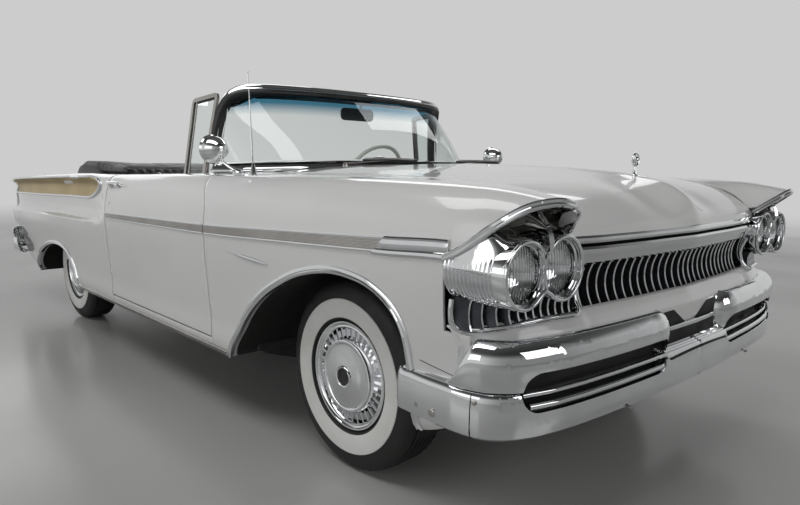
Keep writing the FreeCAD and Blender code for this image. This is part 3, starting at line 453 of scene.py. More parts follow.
def weld(bm, reach=1e-5):  # joins the points that lie this near
    bmesh.ops.remove_doubles(bm, verts=bm.verts, dist=reach)


def closeEnds(bm):  # fills every open edge loop
    bmesh.ops.holes_fill(bm, edges=[e for e in bm.edges if e.is_boundary])


def sweep(bm, path, section, ups=None, closed=False, scale=None):
    # a section of (side, up) pairs drawn along a path; ups gives the up direction at each point
    path = [Vector(p) for p in path]
    count = len(path)
    frames = []
    for k, point in enumerate(path):
        before = path[k - 1] if closed or k else path[k]
        after = path[(k + 1) % count] if closed or k < count - 1 else path[k]
        run = (after - before).normalized()
        up = Vector(ups[k]) if isinstance(ups, list) else Vector(ups or (0, 0, 1))
        side = run.cross(up).normalized()
        frames.append((point, side, side.cross(run).normalized()))
    loop = section + section[:1]
    along = count if closed else count - 1

    def place(u, v):
        point, side, up = frames[round(u * along) % count]
        a, b = loop[round(v * len(section))]
        size = scale(u) if scale else 1.0
        return point + side * a * size + up * b * size

    made = mapGrid(bm, along, len(section), place)
    bmesh.ops.remove_doubles(bm, verts=made, dist=1e-5)
    if not closed:
        closeEnds(bm)


def ring(radius, sides=12, squash=1.0):
    angles = [k * math.tau / sides for k in range(sides)]
    return [(radius * math.cos(a), radius * squash * math.sin(a)) for a in angles]


def roundBox(width, height, corner, steps=3):  # a rounded rectangle as a section
    corner = min(corner, width / 2, height / 2)
    points = []
    for cx, cy, start in ((1, 1, 0), (-1, 1, 90), (-1, -1, 180), (1, -1, 270)):
        for turn in evenly(start, 90, steps):
            angle = math.radians(turn)
            points.append((cx * (width / 2 - corner) + corner * math.cos(angle),
                           cy * (height / 2 - corner) + corner * math.sin(angle)))
    return points


axes = {"x": Vector((1, 0, 0)), "y": Vector((0, 1, 0)), "z": Vector((0, 0, 1))}


def lathe(bm, outline, axis, centre, steps):
    # an outline of (radius, along) pairs spun about an axis through centre
    line = axes[axis] if isinstance(axis, str) else Vector(axis).normalized()
    out = line.orthogonal().normalized()
    verts = [bm.verts.new(Vector(centre) + out * r + line * a) for r, a in outline]
    edges = [bm.edges.new(pair) for pair in zip(verts, verts[1:])]
    bmesh.ops.spin(bm, geom=verts + edges, cent=centre, axis=line, angle=math.tau, steps=steps,
                   use_merge=True)
    weld(bm)


def flipSide(bm):  # turns a right-hand shape into a left-hand one
    bmesh.ops.transform(bm, matrix=Matrix.Scale(-1, 4, (0, 1, 0)), verts=bm.verts)
    bmesh.ops.reverse_faces(bm, faces=bm.faces)


def addPiece(name, bm, material, body, slotName, stands=(), smooth=32, tidy=True, extra=(),
             wall=()):
    # extra holds further materials, wall a sheet's depth and the width of its edge
    if tidy:
        bmesh.ops.recalc_face_normals(bm, faces=bm.faces)
    for face in bm.faces:
        face.smooth = True
    mesh = bpy.data.meshes.new(name)
    bm.to_mesh(mesh)
    bm.free()
    for item in (material, *extra):
        mesh.materials.append(item)
    mesh.set_sharp_from_angle(angle=math.radians(smooth))
    piece = bpy.data.objects.new(name, mesh)
    bpy.context.scene.collection.objects.link(piece)
    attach(piece, body)
    if stands:
        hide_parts(*stands)
    if wall:
        thicken(piece, *wall)
    return piece


def onePiece(name, build, *what, **more):  # build fills an empty mesh
    bm = bmesh.new()
    build(bm)
    return addPiece(name, bm, *what, **more)


def onBothSides(name, build, material, bodies, slotName, stands=(), **more):
    # build makes the right side; the left is its mirror image
    for side, body in zip(("right", "left"), bodies):
        bm = bmesh.new()
        build(bm)
        if side == "left":
            flipSide(bm)
        names = tuple(f"{s}_{side}" for s in stands)
        addPiece(f"{name}_{side}", bm, material, body, slotName, names, tidy=False, **more)


def thicken(piece, depth, edge=0.0012):  # sheet metal: a wall inwards and a soft edge
    wall = piece.modifiers.new("wall", "SOLIDIFY")
    wall.thickness = depth
    wall.offset = -1.0
    if edge:
        soft = piece.modifiers.new("edge", "BEVEL")
        soft.width = edge
        soft.segments = 2
        soft.limit_method = "ANGLE"
        soft.angle_limit = math.radians(50)


def cutAway(bm, planes):  # keeps what lies behind every (point, outward) plane
    for point, outward in planes:
        bmesh.ops.bisect_plane(bm, geom=bm.verts[:] + bm.edges[:] + bm.faces[:], dist=1e-6,
                               plane_co=point, plane_no=outward, clear_outer=True)


def cutHole(bm, outline, axis="y", where=None):  # opens a convex outline, seen along an axis
    line = axes[axis]
    points = [Vector((0, a, b)) if axis == "x" else Vector((a, 0, b)) for a, b in outline]
    middle = sum(points, Vector()) / len(points)
    planes = []
    for a, b in zip(points, points[1:] + points[:1]):
        outward = (b - a).cross(line).normalized()
        if outward.dot(middle - a) > 0:
            outward.negate()
        planes.append((a, outward))
    reach = max((p - middle).length for p in points) + 0.05
    flat = Vector((1, 1, 1)) - line

    def near(item):
        spot = item.calc_center_median()
        return ((spot - middle) * flat).length < reach and (where is None or where(spot))

    for point, outward in planes:
        faces = [f for f in bm.faces if near(f)]
        edges = list({e for f in faces for e in f.edges})
        verts = list({v for f in faces for v in f.verts})
        bmesh.ops.bisect_plane(bm, geom=verts + edges + faces, dist=1e-6, plane_co=point,
                               plane_no=outward)
    gone = []
    for face in bm.faces:
        spot = face.calc_center_median()
        inside = all(outward.dot(spot - point) < 1e-7 for point, outward in planes)
        if inside and (where is None or where(spot)):
            gone.append(face)
    bmesh.ops.delete(bm, geom=gone, context="FACES")


# body side, from the rocker up over the crown; rows run nose to tail
bodySide = {
    "rows": [
        [(2.66, 0.86, 0.43), (2.45, 0.90, 0.39), (2.25, 0.940, 0.325), (1.9, 0.962, 0.296),
         (-1.6, 0.960, 0.296), (-2.2, 0.905, 0.345), (-2.551, 0.875, 0.42)],
        [(2.66, 0.89, 0.45), (2.45, 0.93, 0.41), (2.25, 0.955, 0.345), (1.9, 0.972, 0.314),
         (-1.6, 0.970, 0.314), (-2.2, 0.925, 0.36), (-2.551, 0.893, 0.435)],
        [(2.66, 0.91, 0.50), (2.45, 0.955, 0.47), (2.25, 0.974, 0.45), (1.9, 0.981, 0.45),
         (-1.6, 0.979, 0.45), (-2.2, 0.948, 0.47), (-2.551, 0.915, 0.50)],
        [(2.66, 0.93, 0.60), (2.45, 0.975, 0.60), (2.25, 0.988, 0.60), (1.9, 0.992, 0.60),
         (-1.6, 0.990, 0.59), (-2.2, 0.968, 0.585), (-2.551, 0.935, 0.59)],
        [(2.66, 0.945, 0.71), (2.45, 0.985, 0.71), (2.25, 0.996, 0.71), (1.9, 1.000, 0.71),
         (-0.1, 1.000, 0.71), (-0.4, 0.999, 0.685), (-1.6, 0.996, 0.672), (-2.2, 0.978, 0.655),
         (-2.551, 0.945, 0.65)],
        [(2.66, 0.95, 0.80), (2.45, 0.990, 0.80), (2.25, 0.999, 0.80), (1.9, 1.0025, 0.80),
         (0.0, 1.0025, 0.795), (-0.19, 1.002, 0.790), (-0.34, 1.001, 0.757), (-0.6, 1.000, 0.748),
         (-1.06, 0.999, 0.740), (-1.6, 0.994, 0.731), (-2.2, 0.979, 0.716), (-2.551, 0.948, 0.70)],
        [(2.66, 0.952, 0.85), (2.45, 0.990, 0.85), (2.25, 0.998, 0.85), (1.9, 1.001, 0.85),
         (0.0, 1.001, 0.845), (-0.19, 0.999, 0.838), (-0.34, 0.975, 0.800), (-0.6, 0.964, 0.782),
         (-1.06, 0.960, 0.774), (-1.6, 0.956, 0.764), (-2.2, 0.944, 0.746),
         (-2.551, 0.915, 0.73)],
        [(2.66, 0.95, 0.90), (2.45, 0.987, 0.90), (2.25, 0.994, 0.90), (1.9, 0.996, 0.90),
         (0.0, 0.995, 0.895), (-0.19, 0.991, 0.892), (-0.34, 0.968, 0.885), (-0.6, 0.954, 0.880),
         (-1.06, 0.950, 0.872), (-1.6, 0.947, 0.860), (-2.2, 0.935, 0.845),
         (-2.551, 0.905, 0.83)],
        [(2.66, 0.945, 0.95), (2.45, 0.979, 0.95), (2.25, 0.984, 0.95), (1.9, 0.986, 0.95),
         (0.0, 0.984, 0.945), (-0.19, 0.981, 0.945), (-0.34, 0.966, 0.965), (-0.6, 0.956, 0.988),
         (-1.06, 0.953, 0.975), (-1.6, 0.950, 0.958), (-2.2, 0.940, 0.938),
         (-2.551, 0.912, 0.918)],
        [(2.66, 0.930, 0.985), (2.45, 0.965, 0.990), (2.25, 0.969, 0.990), (1.9, 0.970, 0.990),
         (0.0, 0.968, 0.985), (-0.19, 0.966, 0.983), (-0.34, 0.972, 0.997), (-0.6, 0.984, 1.010),
         (-1.06, 0.986, 0.998), (-1.6, 0.983, 0.981), (-2.2, 0.971, 0.960),
         (-2.551, 0.944, 0.938)],
        [(2.66, 0.905, 1.005), (2.45, 0.942, 1.022), (2.25, 0.946, 1.024), (1.9, 0.947, 1.026),
         (0.6, 0.946, 1.018), (0.0, 0.946, 1.008), (-0.34, 0.958, 1.012), (-0.6, 0.976, 1.022),
         (-1.06, 0.980, 1.010), (-1.6, 0.977, 0.994), (-2.2, 0.964, 0.973),
         (-2.551, 0.938, 0.950)],
        [(2.66, 0.885, 1.014), (2.45, 0.912, 1.040), (2.25, 0.915, 1.045), (1.9, 0.916, 1.049),
         (0.6, 0.915, 1.040), (0.0, 0.916, 1.028), (-0.34, 0.932, 1.024), (-0.6, 0.948, 1.030),
         (-1.06, 0.955, 1.019), (-1.6, 0.952, 1.003), (-2.2, 0.938, 0.984),
         (-2.551, 0.912, 0.962)],
        [(2.66, 0.86, 1.017), (2.45, 0.875, 1.047), (2.25, 0.876, 1.055), (1.9, 0.876, 1.059),
         (0.6, 0.876, 1.048), (0.0, 0.882, 1.035), (-0.34, 0.892, 1.030), (-0.6, 0.905, 1.030),
         (-1.06, 0.912, 1.021), (-1.6, 0.908, 1.006), (-2.2, 0.895, 0.988),
         (-2.551, 0.868, 0.966)],
        [(2.66, 0.80, 1.008), (2.60, 0.79, 1.020), (2.45, 0.785, 1.045), (2.25, 0.785, 1.056),
         (1.9, 0.785, 1.062), (1.02, 0.785, 1.060), (0.6, 0.825, 1.047), (0.0, 0.832, 1.033),
         (-0.6, 0.838, 1.026), (-1.04, 0.838, 1.018), (-1.12, 0.79, 1.018), (-1.6, 0.785, 1.006),
         (-2.2, 0.780, 0.990), (-2.551, 0.770, 0.966)],
        [(2.66, 0.75, 0.985), (2.60, 0.735, 0.955), (2.55, 0.70, 0.940), (2.50, 0.696, 0.985),
         (2.42, 0.696, 1.022), (2.25, 0.696, 1.050), (1.9, 0.696, 1.062), (1.02, 0.696, 1.062),
         (0.9, 0.760, 1.052), (0.6, 0.797, 1.040), (0.0, 0.797, 1.026), (-0.6, 0.797, 1.018),
         (-1.04, 0.797, 1.010), (-1.12, 0.715, 1.012), (-1.6, 0.698, 1.006),
         (-2.2, 0.698, 0.992), (-2.551, 0.698, 0.966)]],
    "creaseRow": 5, "ledgeRow": 9, "trim": 0.0065, "rowSteps": 5, "pitch": 0.028,
}


def sidePoint(x, v):  # a point of the right side at x, v runs 0 to 1 over the rows
    rows = bodySide["rows"]
    at = v * (len(rows) - 1)
    k = min(int(at), len(rows) - 2)
    near = range(max(k - 1, 0), min(k + 3, len(rows)))
    spots = {i: curveAt(rows[i], x) for i in near}
    cove = ramp(-x, 0.19, 0.40)
    sharp = {bodySide["creaseRow"]: cove, bodySide["ledgeRow"]: cove * 0.6}

    def slope(i, chord, span):
        if i - 1 not in spots or i + 1 not in spots:
            return chord / span
        left = (spots[i] - spots[i - 1]).length or 1e-6
        right = (spots[i + 1] - spots[i]).length or 1e-6
        soft = ((spots[i] - spots[i - 1]) / left * right
                + (spots[i + 1] - spots[i]) / right * left) / (left + right)
        return soft.lerp(chord / span, sharp.get(i, 0.0))

    chord = spots[k + 1] - spots[k]
    span = chord.length or 1e-6
    out = hermite(spots[k], spots[k + 1], slope(k, chord, span) * span,
                  slope(k + 1, chord, span) * span, at - k)
    return Vector((x, bodySide["trim"] * ramp(out[0], 0.90, 0.97) - out[0], out[1]))


def sidePanel(bm, xFront, xRear, vLow=0.0, vHigh=1.0):
    rowSpan = (vHigh - vLow) * (len(bodySide["rows"]) - 1)
    across = max(round(rowSpan * bodySide["rowSteps"]), 1)
    along = max(round(abs(xFront - xRear) / bodySide["pitch"]), 1)
    return mapGrid(bm, along, across,
                   lambda u, v: sidePoint(xRear + (xFront - xRear) * u, vLow + (vHigh - vLow) * v))


guide = bmesh.new()
sidePanel(guide, 2.66, -2.551)
guide.normal_update()
sideTree = BVHTree.FromBMesh(guide)
guide.free()


def onSide(x, z, lift=0.0):  # the spot on the right side at x and z, and the way out of it
    spot = None
    while spot is None:  # under the rocker's edge the ray starts higher
        spot, normal, _, _ = sideTree.ray_cast(Vector((x, -1.4, z)), Vector((0, 1, 0)))
        z += 0.006 if z < 0.7 else -0.006
    if normal.y > 0:
        normal = -normal
    return spot + normal * lift, normal


doorCut = {"front": 1.010, "rear": -0.186, "gap": 0.0065, "lean": 0.075,
           "leanFrom": (0.90, 1.06), "sill": 0.362}
arches = {
    "front": [(2.250, 0.30), (2.250, 0.42), (2.247, 0.50), (2.240, 0.560), (2.226, 0.620),
              (2.198, 0.668), (2.148, 0.710), (2.075, 0.742), (1.993, 0.756), (1.90, 0.759),
              (1.808, 0.747), (1.695, 0.719), (1.583, 0.673), (1.465, 0.612), (1.341, 0.521),
              (1.226, 0.396), (1.136, 0.285)],
    "rear": [(-0.826, 0.290), (-0.840, 0.350), (-0.895, 0.428), (-0.968, 0.496), (-1.070, 0.536),
             (-1.205, 0.550), (-1.385, 0.534), (-1.565, 0.486), (-1.690, 0.430), (-1.760, 0.372),
             (-1.785, 0.290)],
    "flange": 0.030,
}


def archOutline(which, grow=0.0, parts=30, tail=0.0):
    line = smoothLine([(x, 0, z) for x, z in arches[which]], 6)
    whole = sum((b - a).length for a, b in zip(line, line[1:]))
    points, run, k = [], 0.0, 0
    for n in range(parts + 1):
        want = whole * n / parts
        while k < len(line) - 2 and run + (line[k + 1] - line[k]).length < want:
            run += (line[k + 1] - line[k]).length
            k += 1
        span = line[k + 1] - line[k]
        spot = line[k] + span * min((want - run) / span.length, 1.0)
        out = Vector((span.z, 0, -span.x)).normalized()
        points.append((spot.x + out.x * grow, spot.z + out.z * grow))
    if tail:
        points = [(points[0][0], points[0][1] - tail)] + points + [(points[-1][0],
                                                                   points[-1][1] - tail)]
    return points


def turnEdge(bm, edges, way):  # draws a flange out of an open edge
    grown = bmesh.ops.extrude_edge_only(bm, edges=edges)
    verts = [g for g in grown["geom"] if isinstance(g, bmesh.types.BMVert)]
    bmesh.ops.translate(bm, vec=way, verts=verts)


def archFlange(bm, which):  # turns the cut's edge inwards
    outline = archOutline(which, parts=90)

    def onArch(edge):
        if not edge.is_boundary:
            return False
        mid = (edge.verts[0].co + edge.verts[1].co) / 2
        return mid.y < -0.8 and min(math.hypot(mid.x - x, mid.z - z) for x, z in outline) < 0.009

    edges = [e for e in bm.edges if onArch(e)]
    if not edges:
        return
    turnEdge(bm, edges, (0, arches["flange"], 0))


def leanCut(bm, x, sign):  # the door's front cut, which leans rearwards near the top
    for turn in (1, -1):
        for vert in bm.verts:
            vert.co.x += turn * doorCut["lean"] * ramp(vert.co.z, *doorCut["leanFrom"])
        if turn == 1:
            cutAway(bm, [((x, 0, 0), (sign, 0, 0))])


def faceOut(bm, heart):  # makes every face look away from a point inside
    bmesh.ops.recalc_face_normals(bm, faces=bm.faces)
    heart = Vector(heart)
    lean = sum(f.normal.dot(f.calc_center_median() - heart) * f.calc_area() for f in bm.faces)
    if lean < 0:
        bmesh.ops.reverse_faces(bm, faces=bm.faces)


def netSurface(bm, net, alongSteps, acrossSteps):  # a smooth sheet through rows of points
    lines = [smoothLine(row, alongSteps) for row in net]
    table = [smoothLine([line[i] for line in lines], acrossSteps) for i in range(len(lines[0]))]
    across = len(table[0]) - 1
    along = len(table) - 1
    return mapGrid(bm, along, across, lambda u, v: table[round(u * along)][round(v * across)])


panelWeld = 4e-4


def onFlank(spot):
    return spot.y < -0.80


def atNose(spot):
    return spot.x > 2.5


browLine = [(2.385, 0.856), (2.425, 0.871), (2.50, 0.915), (2.57, 0.964), (2.62, 0.998),
            (2.66, 1.012)]


def buildFender(bm):
    sidePanel(bm, 2.655, 0.90)
    leanCut(bm, doorCut["front"] + doorCut["gap"], -1)
    for (xa, za), (xb, zb) in zip(browLine, browLine[1:] + [(2.80, 1.012)]):
        cutHole(bm, [(xa, 0.658), (xa, za), (xb, zb), (xb, 0.658)], where=onFlank)
    cutHole(bm, [(2.47, 0.30), (2.47, 0.660), (2.80, 0.660), (2.80, 0.30)], where=onFlank)
    cutAway(bm, [((2.646, -0.756, 0), (0.71, 0.70, 0)), ((2.648, -0.88, 0), (0.93, -0.36, 0)),
                 ((2.652, 0, 0), (1, 0, 0))])
    cutHole(bm, archOutline("front", tail=0.2))
    weld(bm, panelWeld)
    archFlange(bm, "front")
    faceOut(bm, (1.7, -0.6, 0.6))


def buildDoorSkin(bm):
    sidePanel(bm, 1.10, doorCut["rear"])
    leanCut(bm, doorCut["front"], 1)
    cutAway(bm, [((0, 0, doorCut["sill"]), (0, 0, -1))])
    weld(bm, panelWeld)
    faceOut(bm, (0.4, -0.6, 0.6))


def buildQuarter(bm):
    sidePanel(bm, doorCut["rear"] - doorCut["gap"], -2.551)
    cutHole(bm, archOutline("rear", tail=0.2))
    cutHole(bm, [(-2.72, 0.598), (-2.443, 0.598), (-2.005, 0.294), (-2.005, 0.15), (-2.72, 0.15)],
            where=onFlank)
    weld(bm, panelWeld)
    archFlange(bm, "rear")
    faceOut(bm, (-1.3, -0.6, 0.6))


def buildRocker(bm):
    sidePanel(bm, doorCut["front"] + doorCut["gap"], doorCut["rear"] - doorCut["gap"], 0.0, 0.3)
    cutAway(bm, [((0, 0, doorCut["sill"] - doorCut["gap"]), (0, 0, 1))])
    faceOut(bm, (0.4, -0.6, 0.6))


shell = ("body_shell", "body_shell")
doors = ("door_right", "door_left")
sheet = (0.008,)
onBothSides("fenderPanel", buildFender, paint, shell, "body_paint", ("front_fender",),
            wall=sheet)
onBothSides("doorSkin", buildDoorSkin, paint, doors, "body_paint", ("door",), wall=sheet)
onBothSides("quarterPanel", buildQuarter, paint, shell, "body_paint", ("rear_quarter",),
            wall=sheet)
onBothSides("rockerPanel", buildRocker, paint, shell, "body_paint", wall=sheet)
print("stage: side panels shaped")

hoodShape = {
    "rows": [
        (0.690, [(1.187, 1.064), (1.50, 1.066), (1.90, 1.062), (2.20, 1.051), (2.35, 1.036),
                 (2.45, 1.006), (2.52, 0.965), (2.558, 0.930), (2.568, 0.900)]),
        (0.560, [(1.187, 1.080), (1.50, 1.082), (1.90, 1.077), (2.20, 1.063), (2.36, 1.043),
                 (2.47, 1.010), (2.545, 0.966), (2.583, 0.930), (2.592, 0.902)]),
        (0.320, [(1.187, 1.098), (1.50, 1.099), (1.90, 1.092), (2.20, 1.074), (2.37, 1.050),
                 (2.485, 1.014), (2.562, 0.968), (2.602, 0.933), (2.611, 0.906)]),
        (0.130, [(1.187, 1.104), (1.50, 1.106), (1.90, 1.099), (2.20, 1.081), (2.375, 1.055),
                 (2.49, 1.018), (2.568, 0.972), (2.609, 0.936), (2.618, 0.909)]),
        (0.060, [(1.187, 1.105), (1.50, 1.108), (1.90, 1.102), (2.20, 1.087), (2.39, 1.064),
                 (2.52, 1.028), (2.592, 0.978), (2.617, 0.940), (2.622, 0.910)]),
        (0.0, [(1.187, 1.106), (1.50, 1.110), (1.90, 1.107), (2.20, 1.095), (2.40, 1.074),
               (2.545, 1.034), (2.606, 0.982), (2.623, 0.942), (2.625, 0.911)]),
    ],
}
lidWall = (0.010,)


def bothWays(rows):  # rows of (y, [(x, z)...]) from one edge over the middle to the other
    net = [[(x, -y, z) for x, z in row] for y, row in rows]
    return net + [[(x, y, z) for x, z in row] for y, row in reversed(rows) if y > 0]


def buildHood(bm):
    netSurface(bm, bothWays(hoodShape["rows"]), 7, 6)
    faceOut(bm, (1.9, 0, 0.4))


onePiece("hoodPanel", buildHood, paint, "hood", "body_paint", ("hood",), tidy=False,
         wall=lidWall)

cowlShape = {
    "front": [(0.690, 1.063), (0.52, 1.080), (0.30, 1.096), (0.10, 1.103), (0.0, 1.104)],
    "rear": [(0.780, 1.045), (0.60, 1.068), (0.34, 1.084), (0.12, 1.090), (0.0, 1.091)],
    "hoodCut": 1.1805, "doorCut": 1.0165, "back": 0.90,
}


def buildCowl(bm):
    front, rear = cowlShape["front"], cowlShape["rear"]
    ahead = [(y, [(cowlShape["hoodCut"], z), (cowlShape["doorCut"], z - 0.003)])
             for y, z in front]
    behind = [(y, [(cowlShape["doorCut"] - 0.012, z + 0.008), (cowlShape["back"], z)])
              for y, z in rear]
    netSurface(bm, bothWays(ahead), 4, 5)
    netSurface(bm, bothWays(behind), 4, 5)
    weld(bm, 1e-4)
    faceOut(bm, (1.0, 0, 0.2))


onePiece("cowlPanel", buildCowl, paint, "body_shell", "body_paint", tidy=False, wall=sheet)

deckShape = {
    "rows": [
        (0.690, [(-1.751, 1.003), (-2.0, 0.997), (-2.25, 0.987), (-2.42, 0.974), (-2.52, 0.948),
                 (-2.548, 0.918)]),
        (0.50, [(-1.751, 1.012), (-2.0, 1.006), (-2.25, 0.994), (-2.43, 0.978), (-2.53, 0.948),
                (-2.550, 0.916)]),
        (0.25, [(-1.751, 1.016), (-2.0, 1.010), (-2.25, 0.998), (-2.44, 0.980), (-2.535, 0.948),
                (-2.5505, 0.914)]),
        (0.0, [(-1.751, 1.017), (-2.0, 1.011), (-2.25, 0.999), (-2.44, 0.981), (-2.535, 0.948),
               (-2.551, 0.913)]),
    ],
}


def buildDeck(bm):
    netSurface(bm, bothWays(deckShape["rows"]), 6, 6)
    faceOut(bm, (-2.2, 0, 0.4))


onePiece("deckPanel", buildDeck, paint, "deck_lid", "body_paint", ("deck_lid",), tidy=False,
         wall=lidWall)

tailShape = {
    "rows": [(0.907, 0.000), (0.82, 0.010), (0.70, 0.016), (0.60, 0.018), (0.583, 0.016)],
    "half": 0.690, "face": -2.5505,
}


def buildTailPanel(bm):
    rows = tailShape["rows"]

    def place(u, v):
        k = min(int(u * 4 + 1e-6), 3)
        t = u * 4 - k
        z, inward = (a * (1 - t) + b * t for a, b in zip(rows[k], rows[k + 1]))
        y = (v * 2 - 1) * tailShape["half"]
        return Vector((tailShape["face"] + inward, y, z))

    mapGrid(bm, 16, 30, place)
    faceOut(bm, (-2.0, 0, 0.7))


onePiece("tailPanel", buildTailPanel, paint, "body_shell", "body_paint", ("tail_panel",),
         tidy=False, wall=sheet)
print("stage: hood, cowl and deck shaped")

# wheels
tyre = {
    "outline": [(0.196, 0.060), (0.2035, 0.076), (0.2065, 0.0865), (0.2125, 0.0905),
                (0.2135, 0.0925), (0.230, 0.097), (0.255, 0.0995), (0.280, 0.0975),
                (0.2815, 0.0955), (0.300, 0.0935),
                (0.320, 0.088), (0.334, 0.0805), (0.342, 0.0735), (0.3465, 0.066)],
    "whiteFrom": 0.2128, "whiteTo": 0.2812, "grooves": (0.052, 0.031, 0.010), "grooveWide": 0.007,
    "grooveDeep": 0.008, "crown": 0.3497, "shoulder": 0.3465, "steps": 132, "blockDrop": 0.0045,
    "blockRadius": 0.341, "blocks": (0.058, 0.080),
}
cover = {
    "outline": [(0.197, 0.050), (0.2028, 0.068), (0.2018, 0.0785), (0.197, 0.0840),
                (0.191, 0.0835), (0.187, 0.0790), (0.183, 0.0768), (0.178, 0.0778),
                (0.174, 0.0748), (0.171, 0.0660), (0.166, 0.0600), (0.142, 0.0620),
                (0.136, 0.0720), (0.1345, 0.0860), (0.131, 0.0925), (0.126, 0.0945),
                (0.120, 0.0930), (0.116, 0.0895), (0.110, 0.0892), (0.080, 0.0938),
                (0.052, 0.0982), (0.041, 0.0995), (0.0395, 0.1045), (0.036, 0.1070),
                (0.0325, 0.1055), (0.0315, 0.0995), (0.029, 0.0980), (0.014, 0.0990),
                (0.0, 0.1010)],
    "domeRadius": 0.0305, "ribs": 34, "ribFrom": 0.1375, "ribTo": 0.1735, "ribWide": 0.0085,
    "ribHigh": 0.013, "ribOut": 0.0665,
}
wheelPlaces = {
    "front_wheel_right": (1.786, -0.7545), "front_wheel_left": (1.786, 0.7545),
    "rear_wheel_right": (-1.313, -0.7495), "rear_wheel_left": (-1.313, 0.7495),
}
hubHeight = 0.35


def tyreOutline():
    side = tyre["outline"]
    tread = []
    for centre in tyre["grooves"]:
        half = tyre["grooveWide"] / 2
        top = tyre["crown"] - (tyre["crown"] - tyre["shoulder"]) * (centre / side[-1][1]) ** 2
        low = top - tyre["grooveDeep"]
        tread += [(top, centre + half), (low, centre + half * 0.7), (low, centre - half * 0.7),
                  (top, centre - half)]
    right = side + tread
    return right + [(r, -a) for r, a in reversed(right)]


def wheelLathe(bm, outline, x, y, steps):  # turned round the hub; says which way is outward
    out = -1 if y < 0 else 1
    lathe(bm, [(r, a * out) for r, a in outline], "y", (x, y, hubHeight), steps)
    return out


def buildTyre(bm, x, y):  # every other shoulder block is a little lower
    out = wheelLathe(bm, tyreOutline(), x, y, tyre["steps"])
    for vert in bm.verts:
        dx, dz = vert.co.x - x, vert.co.z - hubHeight
        radius = math.hypot(dx, dz)
        across = abs(vert.co.y - y)
        column = round(math.atan2(dz, dx) / math.tau * tyre["steps"])
        low, high = tyre["blocks"]
        if radius > tyre["blockRadius"] and low < across < high and column % 2:
            drop = (radius - tyre["blockDrop"]) / radius
            vert.co.x, vert.co.z = x + dx * drop, hubHeight + dz * drop
    bmesh.ops.recalc_face_normals(bm, faces=bm.faces)
    for face in bm.faces:
        spot = face.calc_center_median()
        radius = math.hypot(spot.x - x, spot.z - hubHeight)
        outside = (spot.y - y) * out > 0.05
        if outside and tyre["whiteFrom"] < radius < tyre["whiteTo"]:
            face.material_index = 1


def buildCover(bm, x, y):
    out = wheelLathe(bm, cover["outline"], x, y, 96)
    for face in bm.faces:
        spot = face.calc_center_median()
        if math.hypot(spot.x - x, spot.z - hubHeight) < cover["domeRadius"]:
            face.material_index = 1
    mid = (cover["ribFrom"] + cover["ribTo"]) / 2
    for k in range(cover["ribs"]):
        shape = bmesh.ops.create_cube(bm, size=1.0)["verts"]
        sized = Matrix.Diagonal((cover["ribTo"] - cover["ribFrom"], cover["ribHigh"],
                                 cover["ribWide"], 1))
        place = Matrix.Translation((mid, cover["ribOut"] * out, 0))
        turn = Matrix.Rotation(math.tau * k / cover["ribs"], 4, "Y")
        at = Matrix.Translation((x, y, hubHeight))
        bmesh.ops.transform(bm, matrix=at @ turn @ place @ sized, verts=shape)


def buildRim(bm, x, y):
    outline = [(0.196, 0.058), (0.188, 0.056), (0.176, 0.052), (0.170, 0.040), (0.160, 0.020),
               (0.160, -0.020), (0.174, -0.040), (0.178, -0.062), (0.190, -0.072),
               (0.187, -0.0745), (0.174, -0.064), (0.155, -0.022), (0.150, -0.006),
               (0.110, 0.002), (0.080, 0.016), (0.055, 0.020), (0.0, 0.020)]
    wheelLathe(bm, outline, x, y, 64)


for body, (x, y) in wheelPlaces.items():
    onePiece(body.replace("wheel", "tyreTread"), lambda bm: buildTyre(bm, x, y), rubber, body,
             "tyre_rubber", (body.replace("wheel", "tyre"),), smooth=40, tidy=False,
             extra=(whitewall,))
    onePiece(body.replace("wheel", "wheelCover"), lambda bm: buildCover(bm, x, y), chrome, body,
             "chrome", (body,), smooth=38, extra=(blackPaint,))
    onePiece(body.replace("wheel", "wheelRim"), lambda bm: buildRim(bm, x, y), blackPaint, body,
             "underbody")
print("stage: wheels fitted")


# side trim
strip = {
    "line": [(2.16, 0.8705), (1.60, 0.848), (1.04, 0.827), (0.40, 0.816), (-0.178, 0.807)],
    "wide": 0.0185, "lift": 0.0055, "edge": 0.0036,
}


def apart(pairs):  # pairs of a spot and a direction as two lists
    return [list(part) for part in zip(*pairs)]


def sideRun(x0, x1, height, step=0.03, lift=0.0):
    places = evenly(x0, x1 - x0, max(2, round(abs(x1 - x0) / step)))
    return apart([onSide(x, height(x) if callable(height) else height, lift) for x in places])


def stripHeight(x):
    return levelAt(strip["line"], x)


def stripNarrowing(x0, x1):  # the strip is a little wider towards the front
    return lambda u: 0.80 + 0.28 * ramp(x0 + (x1 - x0) * u, -0.2, 2.1)


def buildStrip(x0, x1, edges):
    def build(bm):
        spots, outs = sideRun(x0, x1, stripHeight)
        w, h, e = strip["wide"], strip["lift"], strip["edge"]
        if edges:
            for side in (-1, 1):
                section = [(side * w + a, b) for a, b in ((-e, 0), (-e, h), (0, h + 0.001),
                                                         (e, h), (e, 0))]
                sweep(bm, spots, section, outs, scale=stripNarrowing(x0, x1))
        else:
            section = [(-w, -0.001), (-w, h * 0.5)]
            for k in range(5):
                at = -w + (k + 0.5) * 2 * w / 5
                section += [(at - 0.0026, h * 0.5), (at - 0.0014, h * 0.85),
                            (at + 0.0014, h * 0.85), (at + 0.0026, h * 0.5)]
            section += [(w, h * 0.5), (w, -0.001)]
            sweep(bm, spots, section, outs, scale=stripNarrowing(x0, x1))
    return build


